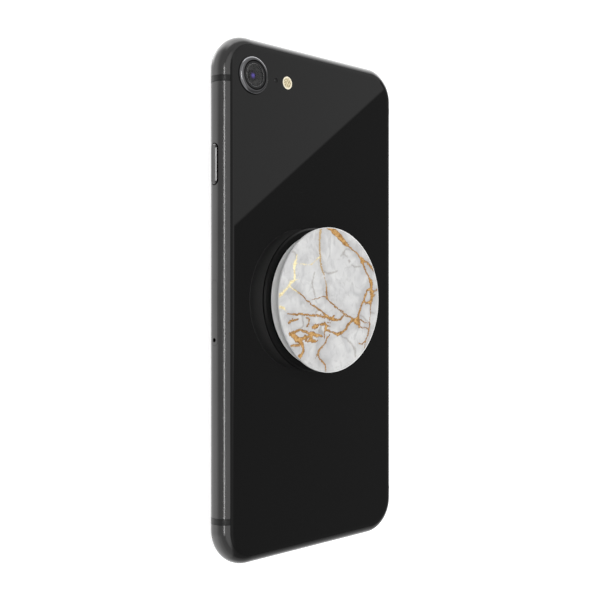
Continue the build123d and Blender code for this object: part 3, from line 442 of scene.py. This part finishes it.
MATERIALS = {
    "band_aluminium": lambda: anodised("band_aluminium", (0.090, 0.0895, 0.0895)),
    "antenna_plastic": lambda: break_plastic("antenna_plastic"),
    "rear_glass": lambda: polished_black_glass("rear_glass"),
    "cover_glass": lambda: clear_glass("cover_glass"),
    "black_ink": lambda: moulded("black_ink", (0.003, 0.003, 0.003), 0.5),
    "display_black": lambda: moulded("display_black", (0.004, 0.004, 0.005), 0.18),
    "steel": lambda: sheet_metal("steel", (0.55, 0.55, 0.56)),
    "dark_steel": lambda: sheet_metal("dark_steel", (0.10, 0.10, 0.105), 0.35),
    "camera_ring_metal": lambda: polished_ring("camera_ring_metal"),
    "camera_glass": lambda: masked_glass("camera_glass"),
    "lens_glass": lambda: coated_lens("lens_glass"),
    "black_plastic": lambda: moulded("black_plastic", (0.006, 0.006, 0.006), 0.45, ior=1.25),
    "flash_lens": lambda: pebbled_lens("flash_lens"),
    "led_phosphor": lambda: moulded("led_phosphor", (0.80, 0.62, 0.15), 0.5, 0.05),
    "adhesive": lambda: moulded("adhesive", (0.02, 0.02, 0.02), 0.6),
    "copper": lambda: wound_copper("copper"),
    "ferrite": lambda: moulded("ferrite", (0.05, 0.05, 0.055), 0.5, 0.3, 0.01, 0.15),
    "gold_contact": lambda: sheet_metal("gold_contact", (0.85, 0.62, 0.25), 0.2),
    "circuit_board": lambda: printed_board("circuit_board"),
    "battery_wrap": lambda: foil_wrap("battery_wrap"),
    "flex_film": lambda: moulded("flex_film", (0.20, 0.09, 0.015), 0.3),
    "mesh": lambda: woven_mesh("mesh"),
    "sim_plastic": lambda: moulded("sim_plastic", (0.8, 0.8, 0.79), 0.4),
    "mute_marker": lambda: moulded("mute_marker", (0.75, 0.16, 0.02), 0.45),
    "gasket_rubber": lambda: moulded("gasket_rubber", (0.012, 0.012, 0.012), 0.6),
    "grip_black": lambda: moulded("grip_black", (0.003, 0.003, 0.003), 0.40, ior=1.26),
    "grip_soft": lambda: moulded("grip_soft", (0.008, 0.008, 0.008), 0.5, 0.2, 0.01),
    "grip_white": lambda: moulded_shell("grip_white"),
    "grip_print": lambda: printed_marble("grip_print"),
}

made_materials = {}


def material(slot):
    if slot not in made_materials:
        made_materials[slot] = MATERIALS[slot]()
    return made_materials[slot]


for subpart in frame["record"]["subparts"]:
    owner = nodes[subpart["node"]]
    owner.data.materials.clear()
    owner.data.materials.append(material(subpart["material_slot"]))

# ---- mesh helpers --------------------------------------------------------------------------------


def add_piece(name, vertices, faces, slot, replaced, sharp=40):
    """A mesh piece in the row frame that stands for CAD nodes and takes its finish from a slot."""
    mesh = bpy.data.meshes.new(name)
    mesh.from_pydata([tuple(v) for v in vertices], [], faces)
    mesh.update()
    mesh.shade_smooth()
    mesh.set_sharp_from_angle(angle=math.radians(sharp))
    mesh.materials.append(material(slot))
    piece = bpy.data.objects.new(name, mesh)
    bpy.context.scene.collection.objects.link(piece)
    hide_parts(*replaced)
    return piece


def arc(centre, radius, start, end, steps):
    """Points of an arc in (radius, z), angles in degrees from outwards, turning up."""
    angles = np.radians(np.linspace(start, end, steps + 1))
    return [(centre[0] + radius * math.cos(a), centre[1] + radius * math.sin(a)) for a in angles]


def turned(profile, centre=(0, 0), spokes=192):
    """Vertices and faces of a closed (radius, z) profile, in millimetres, turned about an upright axis."""
    vertices, faces, rings = [], [], []
    turns = [2 * math.pi * k / spokes for k in range(spokes)]
    for r, z in profile:
        if r < 1e-6:
            rings.append([len(vertices)] * spokes)
            vertices.append((centre[0], centre[1], z * MM))
            continue
        rings.append(range(len(vertices), len(vertices) + spokes))
        reach = r * MM
        vertices += [(centre[0] + reach * math.cos(a), centre[1] + reach * math.sin(a), z * MM)
                     for a in turns]
    for lower, upper in zip(rings, rings[1:] + rings[:1]):
        for k in range(spokes):
            n = (k + 1) % spokes
            corners = [lower[k], lower[n], upper[n], upper[k]]
            face = [v for i, v in enumerate(corners) if v != corners[i - 1]]
            if len(face) > 2:
                faces.append(face)
    return vertices, faces


def thickened(path, thickness):
    """The closed outline of a strip of that thickness along an open (radius, z) path."""
    points = np.array(path)
    along = np.gradient(points, axis=0)
    along /= np.linalg.norm(along, axis=1)[:, None]
    side = np.stack([along[:, 1], -along[:, 0]], axis=1) * thickness / 2
    return [tuple(p) for p in np.concatenate([points + side, (points - side)[::-1]])]


def eased(start, end, steps):
    """A path between two (radius, z) points that leaves and arrives straight up or down."""
    shares = np.linspace(0, 1, steps + 1)
    bend = shares * shares * (3 - 2 * shares)
    return [(start[0] + (end[0] - start[0]) * b, start[1] + (end[1] - start[1]) * s)
            for s, b in zip(shares, bend)]


# ---- grip: accordion -----------------------------------------------------------------------------
# Walls and folds of the collapsed accordion, mid radii in millimetres from the outside in.
floor_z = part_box("grip_base_wall")[0].z / MM
CREST_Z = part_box("grip_base_wall")[1].z / MM - 0.65  # middle of the upper bends
VALLEY_Z = floor_z + 0.8  # middle of the lower bends
SKIN = 0.7
BEND = 0.4  # radius of the bends' middle line
FOLD_STEPS = 28
FOOT = 16.6  # base wall, at its foot
OUTER_CREST, OUTER_VALLEY = 15.7, 13.3  # lower fold
INNER_CREST, INNER_VALLEY = 12.5, 10.1  # upper fold
HUB_CREST = 9.4


def accordion_piece(name, path, slot, replaced):
    return add_piece(name, *turned(thickened(path, SKIN)), slot, replaced)


def fold_path(outer_top, inner_bottom):
    """Over the crest from the outer wall, down the fold, and under the valley to the inner wall."""
    crest = arc((outer_top - BEND, CREST_Z), BEND, 0, 180, 10)
    valley = arc((inner_bottom + BEND, VALLEY_Z), BEND, 0, -180, 10)
    down = eased(crest[-1], valley[0], FOLD_STEPS)
    return crest + down[1:-1] + valley


def make_accordion():
    base = accordion_piece("accordion_base_wall", [(FOOT + 0.15, floor_z), (FOOT, floor_z + 0.3)]
                           + eased((FOOT, floor_z + 0.3), (OUTER_CREST, CREST_Z), 10)[1:],
                           "grip_soft", ["grip_base_wall"])
    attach(base, "phone_body")
    lower = accordion_piece("accordion_lower_fold", fold_path(OUTER_CREST, OUTER_VALLEY),
                            "grip_soft", ["grip_lower_fold"])
    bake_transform(lower)
    wall = accordion_piece("accordion_middle_wall",
                           eased((OUTER_VALLEY, VALLEY_Z), (INNER_CREST, CREST_Z), 10),
                           "grip_soft", ["grip_middle_wall"])
    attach(wall, "grip_middle")
    upper = accordion_piece("accordion_upper_fold", fold_path(INNER_CREST, INNER_VALLEY),
                            "grip_soft", ["grip_upper_fold"])
    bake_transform(upper)
    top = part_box("grip_hub")[1].z / MM
    plate = top - 0.7
    half = SKIN / 2
    profile = [(0, plate - 0.8), (8.3, plate - 0.8), (8.9, plate - 1.1)]
    profile += [(r - half, z) for r, z in eased((HUB_CREST, CREST_Z - 0.5), (INNER_VALLEY, VALLEY_Z), 10)]
    profile += [(r + half, z) for r, z in eased((INNER_VALLEY, VALLEY_Z), (HUB_CREST, CREST_Z), 10)]
    profile += arc((HUB_CREST + half - 0.6, plate - 0.6), 0.6, 0, 90, 6)[1:]
    profile += [(4.2, plate), (4.0, plate + 0.2), (4.0, top - 0.15), (3.85, top), (0, top)]
    hub = add_piece("accordion_hub", *turned(profile), "grip_soft", ["grip_hub"])
    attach(hub, "grip_upper")


make_accordion()

# ---- grip: marble insert -------------------------------------------------------------------------
# Veins of the print. Each point is (right, up, half width): shares of the top's radius, then
# millimetres.
UPPER_VEIN = [
    (-0.20, 0.99, 0.52), (-0.215, 0.90, 0.40), (-0.225, 0.75, 0.32), (-0.215, 0.60, 0.30),
    (-0.20, 0.47, 0.28), (-0.15, 0.37, 0.20), (-0.12, 0.28, 0.14), (-0.10, 0.18, 0.22),
    (-0.085, 0.08, 0.32), (-0.085, 0.03, 0.34),
]
GOLD_VEINS = [
    [(-0.06, 0.99, 0.35), (0.03, 0.97, 0.80), (0.11, 0.92, 0.85), (0.20, 0.86, 0.85), (0.28, 0.80, 0.70),
     (0.36, 0.755, 0.30), (0.46, 0.70, 0.24), (0.55, 0.66, 0.30), (0.61, 0.60, 0.42), (0.65, 0.55, 0.80)],
    [(0.65, 0.55, 0.55), (0.73, 0.54, 0.28), (0.80, 0.50, 0.34), (0.86, 0.45, 0.30), (0.90, 0.41, 0.24)],
    [(0.65, 0.52, 0.40), (0.73, 0.40, 0.26), (0.79, 0.32, 0.32), (0.84, 0.25, 0.72), (0.83, 0.16, 0.66),
     (0.85, 0.08, 0.78), (0.84, 0.00, 0.52), (0.80, -0.04, 0.55)],
    [(0.85, 0.12, 0.45), (0.91, 0.13, 0.24), (0.97, 0.15, 0.32)],
    [(0.86, 0.05, 0.40), (0.92, 0.08, 0.20)],
    [(0.83, -0.05, 0.28), (0.82, -0.20, 0.12), (0.80, -0.33, 0.16), (0.785, -0.41, 0.28),
     (0.75, -0.52, 0.24), (0.70, -0.59, 0.26), (0.63, -0.63, 0.18), (0.56, -0.62, 0.12)],
    [(0.70, -0.59, 0.14), (0.70, -0.68, 0.10)],
    [(0.82, 0.17, 0.45), (0.75, 0.14, 0.42), (0.71, 0.07, 0.40), (0.68, 0.00, 0.42), (0.63, -0.07, 0.36),
     (0.60, -0.14, 0.34), (0.56, -0.22, 0.46), (0.55, -0.28, 1.10)],
    [(0.67, -0.02, 0.42), (0.74, -0.05, 0.26), (0.82, -0.03, 0.40)],
    [(0.45, -0.28, 0.50), (0.50, -0.30, 0.80), (0.58, -0.34, 0.55), (0.58, -0.39, 0.34)],
    [(0.60, -0.28, 0.24), (0.68, -0.31, 0.14), (0.79, -0.33, 0.14)],
    [(0.58, -0.37, 0.24), (0.65, -0.40, 0.16), (0.72, -0.385, 0.14), (0.78, -0.42, 0.16)],
    UPPER_VEIN,
    [(-0.09, 0.03, 0.28), (-0.17, 0.05, 0.16), (-0.26, 0.02, 0.10), (-0.37, 0.01, 0.06)],
    [(-0.07, 0.01, 0.22), (0.00, -0.04, 0.22), (0.09, -0.10, 0.24), (0.20, -0.155, 0.18),
     (0.28, -0.20, 0.16), (0.38, -0.24, 0.20), (0.46, -0.27, 0.30)],
    [(0.20, -0.17, 0.14), (0.28, -0.22, 0.18), (0.36, -0.24, 0.16)],
    [(-0.72, 0.15, 0.16), (-0.60, 0.08, 0.24), (-0.48, 0.01, 0.20), (-0.37, -0.06, 0.22),
     (-0.27, -0.12, 0.24), (-0.17, -0.17, 0.24), (-0.09, -0.22, 0.44), (-0.04, -0.245, 0.48),
     (0.02, -0.26, 0.62), (0.09, -0.265, 0.36), (0.15, -0.275, 0.30), (0.20, -0.26, 0.34),
     (0.26, -0.22, 0.20)],
    [(0.03, -0.25, 0.36), (0.06, -0.21, 0.22)],
    [(-0.84, -0.18, 0.12), (-0.72, -0.195, 0.24), (-0.60, -0.185, 0.26), (-0.48, -0.20, 0.24),
     (-0.36, -0.21, 0.28), (-0.24, -0.22, 0.22), (-0.12, -0.235, 0.34)],
    [(-0.81, -0.30, 0.26), (-0.74, -0.27, 0.30), (-0.64, -0.25, 0.14)],
    [(-0.48, -0.24, 0.16), (-0.43, -0.265, 0.30), (-0.44, -0.32, 0.20), (-0.48, -0.36, 0.20)],
    [(-0.35, -0.37, 0.50), (-0.30, -0.36, 0.70), (-0.26, -0.34, 0.45)],
    [(-0.22, -0.335, 0.26), (-0.15, -0.33, 0.46), (-0.12, -0.31, 0.34), (-0.10, -0.36, 0.62),
     (-0.12, -0.42, 0.45), (-0.06, -0.42, 0.34), (0.02, -0.44, 0.26), (0.09, -0.47, 0.36),
     (0.15, -0.48, 0.52), (0.22, -0.455, 0.38), (0.30, -0.40, 0.34), (0.36, -0.34, 0.34),
     (0.44, -0.29, 0.46)],
    [(-0.07, -0.30, 0.14), (-0.01, -0.31, 0.12)],
    [(-0.08, -0.36, 0.20), (-0.01, -0.37, 0.08)],
    [(-0.13, -0.44, 0.26), (-0.14, -0.54, 0.18)],
    [(-0.79, -0.44, 0.36), (-0.72, -0.47, 0.72), (-0.65, -0.53, 0.92), (-0.58, -0.56, 0.72),
     (-0.55, -0.62, 0.40), (-0.53, -0.68, 0.34), (-0.57, -0.73, 0.42), (-0.62, -0.76, 0.56),
     (-0.60, -0.81, 0.32)],
    [(-0.76, -0.43, 0.30), (-0.66, -0.41, 0.24), (-0.58, -0.40, 0.26), (-0.50, -0.42, 0.24),
     (-0.42, -0.45, 0.34), (-0.35, -0.46, 0.56), (-0.30, -0.48, 0.58), (-0.22, -0.49, 0.34),
     (-0.17, -0.50, 0.16)],
    [(-0.58, -0.52, 0.50), (-0.50, -0.50, 0.42), (-0.42, -0.49, 0.30), (-0.36, -0.47, 0.40)],
    [(-0.36, -0.48, 0.34), (-0.39, -0.53, 0.42), (-0.35, -0.56, 0.55), (-0.30, -0.57, 0.34),
     (-0.26, -0.55, 0.14)],
    [(-0.46, -0.55, 0.16), (-0.40, -0.54, 0.34)],
    [(-0.50, -0.47, 0.14), (-0.46, -0.51, 0.24), (-0.50, -0.55, 0.14)],
    [(-0.82, -0.63, 0.22), (-0.74, -0.61, 0.26), (-0.62, -0.60, 0.26)],
    [(-0.02, -0.47, 0.14), (-0.07, -0.52, 0.24), (-0.11, -0.59, 0.24), (-0.19, -0.65, 0.28),
     (-0.25, -0.69, 0.32), (-0.26, -0.76, 0.22), (-0.22, -0.81, 0.20), (-0.16, -0.85, 0.28),
     (-0.11, -0.91, 0.26), (-0.10, -0.98, 0.20)],
    [(-0.22, -0.68, 0.16), (-0.28, -0.74, 0.20), (-0.30, -0.79, 0.08)],
]
# veins painted pale gold as a highlight where the light catches them
PAINTED_GLINT_VEINS = [
    [(-0.66, 0.60, 0.12), (-0.66, 0.54, 0.26), (-0.69, 0.48, 0.62), (-0.71, 0.40, 0.30),
     (-0.70, 0.32, 0.44), (-0.71, 0.26, 0.42), (-0.79, 0.21, 0.40), (-0.86, 0.14, 0.34),
     (-0.92, 0.09, 0.40), (-0.99, 0.06, 0.56)],
    [(-0.74, 0.26, 0.14), (-0.64, 0.27, 0.14)],
    [(-0.79, 0.18, 0.16), (-0.90, 0.13, 0.16)],
    [(-0.64, 0.48, 0.14), (-0.50, 0.475, 0.12), (-0.38, 0.48, 0.14), (-0.29, 0.54, 0.16),
     (-0.22, 0.58, 0.20)],
    [(-0.99, -0.10, 0.46), (-0.90, -0.10, 0.40), (-0.86, -0.15, 0.14)],
    [(-0.78, 0.18, 0.22), (-0.70, 0.13, 0.26), (-0.62, 0.09, 0.12)],
]
GREY_VEINS = [
    [(-0.32, 0.37, 0.08), (-0.36, 0.25, 0.14), (-0.36, 0.18, 0.16), (-0.33, 0.10, 0.12),
     (-0.31, 0.04, 0.08)],
    [(0.22, -0.50, 0.12), (0.32, -0.55, 0.16), (0.42, -0.62, 0.16), (0.49, -0.69, 0.20),
     (0.50, -0.80, 0.10)],
    [(0.20, 0.62, 0.12), (0.26, 0.67, 0.16), (0.30, 0.715, 0.14), (0.40, 0.71, 0.06)],
    [(0.25, 0.65, 0.08), (0.32, 0.61, 0.10)],
    [(0.365, 0.55, 0.30), (0.372, 0.54, 0.30)],
    [(0.42, 0.49, 0.06), (0.48, 0.46, 0.16), (0.60, 0.47, 0.10)],
    [(-0.16, 0.41, 0.14), (-0.08, 0.37, 0.20), (0.02, 0.37, 0.12), (0.12, 0.41, 0.08)],
    [(-0.30, -0.18, 0.14), (-0.25, -0.13, 0.12), (-0.18, -0.15, 0.08)],
    [(-0.78, 0.66, 0.16), (-0.70, 0.63, 0.18), (-0.66, 0.56, 0.12)],
    [(-0.56, -0.20, 0.10), (-0.54, -0.34, 0.14), (-0.62, -0.40, 0.10)],
    [(-0.20, -0.36, 0.30), (-0.22, -0.42, 0.55), (-0.18, -0.46, 0.30)],
    [(0.58, -0.20, 0.10), (0.66, -0.24, 0.14), (0.78, -0.32, 0.10)],
    [(0.82, -0.18, 0.14), (0.90, -0.19, 0.10)],
    [(-0.84, -0.62, 0.20), (-0.74, -0.68, 0.24), (-0.70, -0.76, 0.12)],
]
TAN_VEINS = [UPPER_VEIN[:8]]  # gold veins that are paler than the others
CLUSTER = (-0.50, -0.50, 0.30, 0.09)  # right, up and size in shares, then extra half width in millimetres
RINGS = 104
SPOKES = 480
WANDER = ((4.0, 0.22), (1.5, 0.26), (0.6, 0.15))  # (size, reach) of the veins' wobble, in millimetres
WANDER_SEED = 7  # unseeded, noise_vector gives other values in each run


def wobbled(points):
    """Points in millimetres, moved by smooth noise, so that straight strokes wander as veins do."""
    noise.seed_set(WANDER_SEED)
    moved = points.copy()
    for size, reach in WANDER:
        for i, (x, y) in enumerate(points):
            push = noise.noise_vector((x / size, y / size, size))
            moved[i, 0] += reach * push.x
            moved[i, 1] += reach * push.y
    return moved


def inside_veins(points, veins, radius):
    """How far each point lies inside the nearest vein, in millimetres; negative outside."""
    best = np.full(len(points), -20.0)
    for vein in veins:
        for (ax, ay, aw), (bx, by, bw) in zip(vein, vein[1:]):
            a = np.array((ax, ay)) * radius
            b = np.array((bx, by)) * radius
            share = np.clip((points - a) @ (b - a) / ((b - a) @ (b - a)), 0, 1)
            away = np.linalg.norm(points - a - share[:, None] * (b - a), axis=1)
            best = np.maximum(best, aw + share * (bw - aw) - away)
    return best


def make_insert():
    low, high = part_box("grip_top_insert")
    radius, bottom, top = high.x / MM, low.z / MM, high.z / MM
    edge = 0.08
    profile = [(0, bottom), (radius, bottom), (radius, top - edge)]
    profile += arc((radius - edge, top - edge), edge, 0, 90, 4)[1:]
    profile += [(r, top) for r in np.linspace(radius - edge, 0, RINGS)[1:]]
    vertices, faces = turned(profile, spokes=SPOKES)
    insert = add_piece("marble_insert", vertices, faces, "grip_print", ["grip_top_insert"])
    flat = np.array(vertices)[:, :2] / MM
    moved = wobbled(flat)
    print_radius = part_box("grip_top_shell")[1].x / MM
    right, up, size, swelling = CLUSTER
    away = np.hypot(flat[:, 0] / print_radius - right, flat[:, 1] / print_radius - up) / size
    swell = swelling * np.exp(-away * away)
    for name, veins in (("gold", GOLD_VEINS), ("tan", TAN_VEINS), ("painted_glint", PAINTED_GLINT_VEINS), ("grey", GREY_VEINS)):
        values = (inside_veins(moved, veins, print_radius) + swell).astype(np.float32)
        insert.data.attributes.new(name, "FLOAT", "POINT").data.foreach_set("value", values)
    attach(insert, "grip_top")


make_insert()

# ---- rear camera and flash -----------------------------------------------------------------------


BAFFLE_STEPS = ((2.50, 0.12), (2.18, 0.24), (1.88, 0.36), (1.62, 0.48))  # radius and depth of each step
DOME_RADIUS, DOME_SAG, DOME_ANGLE = 1.38, 0.28, 1.1  # front element: rim, height and half angle in radians
STACK_RADIUS = 2.28  # lens stack below the front element


def make_lens():
    """Stepped black baffle and domed front element inside the camera ring."""
    low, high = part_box("camera_lens_barrel")
    bottom, top = low.z / MM, high.z / MM
    outer = (high.x - low.x) / 2 / MM
    steps = [(2.95, top), (2.82, top - 0.05)]
    for radius, drop in BAFFLE_STEPS:
        steps += [(radius + 0.10, top - drop), (radius + 0.04, top - drop), (radius, top - drop - 0.10)]
    bore = [(1.52, top - 0.62), (1.5, top - 0.75), (2.3, top - 0.75), (2.3, bottom + 0.4),
            (1.9, bottom + 0.4)]
    profile = [(1.9, bottom), (outer, bottom), (outer, top - 0.06), (outer - 0.06, top)] + steps + bore
    barrel = add_piece("lens_baffle", *turned(profile, camera_centre.xy, 128), "black_plastic",
                       ["camera_lens_barrel"], 25)
    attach(barrel, "camera_lens")

    low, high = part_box("camera_lens_elements")
    foot, crown = low.z / MM, high.z / MM
    lowest = 1 - math.cos(DOME_ANGLE)
    dome = [(DOME_RADIUS * math.sin(a) / math.sin(DOME_ANGLE), crown - DOME_SAG * (1 - math.cos(a)) / lowest)
            for a in np.linspace(DOME_ANGLE, 0, 14)]
    shoulder = crown - 0.65
    stack = [(0, foot), (STACK_RADIUS - 0.08, foot), (STACK_RADIUS, foot + 0.08),
             (STACK_RADIUS, shoulder - 0.08), (STACK_RADIUS - 0.08, shoulder), (DOME_RADIUS, shoulder),
             (DOME_RADIUS, crown - DOME_SAG - 0.02)]
    element = add_piece("lens_front_element", *turned(stack + dome, camera_centre.xy, 128), "lens_glass",
                        ["camera_lens_elements"])
    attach(element, "camera_lens")


FLASH_RIM = 0.3
PEBBLE = 0.30
PEBBLE_DEPTH = 0.06


def make_flash_lens():
    """Round flash lens: raised rim, and a middle of small moulded pebbles."""
    low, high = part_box("flash_window")
    radius = (high.x - low.x) / 2 / MM
    bottom, top = low.z / MM, high.z / MM
    rim = radius - FLASH_RIM
    rings = 44
    profile = [(0, bottom), (radius, bottom), (radius, top - 0.05), (radius - 0.05, top), (rim, top)]
    profile += [(r, top - 0.04) for r in np.linspace(rim - 0.05, 0, rings)]
    vertices, faces = turned(profile, flash_centre.xy, 144)
    shaped = []
    for x, y, z in vertices:
        away = math.hypot(x - flash_centre.x, y - flash_centre.y) / MM
        if away < rim - 0.03 and z > (top - 0.06) * MM:
            nearest = noise.voronoi((x / MM / PEBBLE, y / MM / PEBBLE, 0.5))[0][0]
            z -= PEBBLE_DEPTH * MM * min(1.0, nearest * nearest)
        shaped.append((x, y, z))
    lens = add_piece("flash_lens_optic", shaped, faces, "flash_lens", ["flash_window"], 60)
    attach(lens, "phone_body")


make_lens()
make_flash_lens()

# ---- floor, world, lights, camera ----------------------------------------------------------------


def make_floor():
    """Plain white floor. Gloss sees the studio's own glow from below instead of it."""
    mesh = bpy.data.meshes.new("floor")
    half = 3.0
    drop = phone_low.z - 0.02 * MM
    corners = [(-half, -half, drop), (half, -half, drop), (half, half, drop), (-half, half, drop)]
    mesh.from_pydata(corners, [], [(0, 1, 2, 3)])
    floor = bpy.data.objects.new("floor", mesh)
    bpy.context.scene.collection.objects.link(floor)
    made = Shader("floor_white", Base_Color=(0.6, 0.6, 0.6), Roughness=0.9)
    made.set(Emission_Color=(1, 1, 1), Emission_Strength=0.8)
    mesh.materials.append(made.material)
    floor.visible_glossy = False


# radiances of the studio: AMBIENT and LEFT_AMBIENT light matt surfaces, BACKDROP is what the camera sees
AMBIENT = 0.84
LEFT_AMBIENT = 0.75
BACKDROP = 1.2
SKY = 0.20
FLOOR_GLOW = 1.15
LEFT_LOW = 0.50
LEFT_HIGH = 0.95
RIGHT_LOW = 1.10
OVERHEAD = 0.22
CARD_LIGHT = 0.50
BACK_GLOW = 2.6
FRONT_GLOW = 0.4
STRIP_LIGHT = 13.5
STRIP_HALF = math.sin(math.radians(1.9))
STRIP_TILT = math.radians(43.6)
STRIP_NORMAL = (math.sin(STRIP_TILT), 0, math.cos(STRIP_TILT))

# camera: 45 degrees off the back's normal, towards the power key's side, level with the phone's middle
VIEW_ANGLE = math.radians(44.95)
VIEW_DISTANCE = 0.2711
LENS = 57.885
SHIFT_X = -0.0118
view_target = Vector((0, 0, (phone_low.z + back_z) / 2))
camera_place = view_target + VIEW_DISTANCE * Vector((-math.sin(VIEW_ANGLE), 0, math.cos(VIEW_ANGLE)))


def card_normal():
    """The card's lower edge, seen mirrored in the rear glass, runs between these two points of the glass."""
    a = Vector((0.0302, 0.0641, back_z))
    b = Vector((-0.0300, 0.0191, back_z))
    mirrored = Vector((camera_place.x, camera_place.y, 2 * back_z - camera_place.z))
    normal = (a - mirrored).cross(b - mirrored).normalized()
    return tuple(normal if normal.y > 0 else -normal)


def make_world():
    """White behind the object; around it, a dim studio with soft glows, one large card and one strip."""
    world = bpy.data.worlds.new("studio")
    bpy.context.scene.world = world
    world.use_nodes = True
    tree = world.node_tree
    tree.nodes.clear()
    make, link = tree.nodes.new, tree.links.new
    direction = make("ShaderNodeTexCoord").outputs["Generated"]

    def operate(operation, a, b=None):
        made = make("ShaderNodeMath")
        made.operation = operation
        for socket, value in ((made.inputs[0], a), (made.inputs[1], b)):
            if isinstance(value, bpy.types.NodeSocket):
                link(value, socket)
            elif value is not None:
                socket.default_value = value
        return made.outputs[0]

    def along(axis):
        made = make("ShaderNodeVectorMath")
        made.operation = "DOT_PRODUCT"
        link(direction, made.inputs[0])
        made.inputs[1].default_value = axis
        return made.outputs["Value"]

    def step(value, low, high):
        made = make("ShaderNodeMapRange")
        made.interpolation_type = "SMOOTHSTEP"
        link(value, made.inputs["Value"])
        made.inputs["From Min"].default_value = low
        made.inputs["From Max"].default_value = high
        return made.outputs["Result"]

    def product(first, *others):
        for other in others:
            first = operate("MULTIPLY", first, other)
        return first

    def opposite(value):
        return operate("SUBTRACT", 1.0, value)

    height, leftward, backward = along((0, 0, 1)), along((-1, 0, 0)), along((0, 1, 0))
    depth, rightward, frontward = along((0, 0, -1)), along((1, 0, 0)), along((0, -1, 0))
    left = step(leftward, -0.04, 0.06)
    low = opposite(step(height, 0.15, 0.35))
    from_strip = operate("ABSOLUTE", along(STRIP_NORMAL))
    glows = [
        product(step(depth, -0.12, 0.62), FLOOR_GLOW),
        product(left, opposite(step(height, 0.60, 0.72)), LEFT_LOW),
        product(left, step(height, 0.66, 0.76), LEFT_HIGH),
        product(step(rightward, 0.30, 0.60), step(depth, -0.20, 0.10), opposite(step(frontward, 0.2, 0.5)),
                RIGHT_LOW),
        product(step(height, 0.80, 0.90), opposite(left), OVERHEAD),
        product(step(along(card_normal()), -0.0015, 0.0015), opposite(left),
                opposite(step(height, 0.86, 0.92)), step(height, 0.2, 0.4), CARD_LIGHT),
        product(step(backward, 0.30, 0.42), low, opposite(step(leftward, 0.1, 0.5)), BACK_GLOW),
        product(step(frontward, 0.30, 0.42), low, FRONT_GLOW),
        product(opposite(step(from_strip, STRIP_HALF * 0.7, STRIP_HALF * 1.3)), step(leftward, 0.1, 0.2),
                opposite(step(operate("ABSOLUTE", backward), 0.22, 0.36)), STRIP_LIGHT),
    ]
    total = SKY
    for glow in glows:
        total = operate("ADD", glow, total)

    rays = make("ShaderNodeLightPath").outputs
    mirrored = operate("MULTIPLY", total, opposite(rays["Is Diffuse Ray"]))
    soft = operate("ADD", product(step(leftward, 0.2, 0.9), low, LEFT_AMBIENT), AMBIENT)
    ambient = operate("MULTIPLY", rays["Is Diffuse Ray"], soft)
    background = make("ShaderNodeBackground")
    backdrop = operate("MULTIPLY", rays["Is Camera Ray"], BACKDROP)
    strength = operate("MAXIMUM", operate("ADD", mirrored, ambient), backdrop)
    link(strength, background.inputs["Strength"])
    output = make("ShaderNodeOutputWorld")
    link(background.outputs[0], output.inputs["Surface"])


def make_camera():
    data = bpy.data.cameras.new("camera")
    camera = bpy.data.objects.new("camera", data)
    bpy.context.scene.collection.objects.link(camera)
    data.lens = LENS
    data.sensor_width = 36.0
    data.shift_x = SHIFT_X
    data.clip_start = 0.01
    data.clip_end = 20.0
    right = Vector((math.cos(VIEW_ANGLE), 0, math.sin(VIEW_ANGLE)))
    up = Vector((0, 1, 0))
    turn = Matrix((right, up, right.cross(up))).transposed()
    camera.matrix_world = Matrix.Translation(camera_place) @ turn.to_4x4()
    bpy.context.scene.camera = camera


def area_light(name, place, size, power):
    """A soft round light aimed at the object, which gloss doesn't see."""
    data = bpy.data.lights.new(name, "AREA")
    data.shape = "DISK"
    data.size = size
    data.energy = power
    light = bpy.data.objects.new(name, data)
    bpy.context.scene.collection.objects.link(light)
    light.location = place
    light.rotation_euler = (-Vector(place)).to_track_quat("-Z", "Y").to_euler()
    light.visible_glossy = False


make_floor()
make_world()
make_camera()
area_light("key", (0.14, 0.16, 0.60), 0.45, 2.3)
area_light("fill", (0.20, -0.30, 0.50), 0.45, 0.8)

scene = bpy.context.scene
scene.view_settings.view_transform = "Standard"
scene.cycles.max_bounces = 12
scene.cycles.transmission_bounces = 8
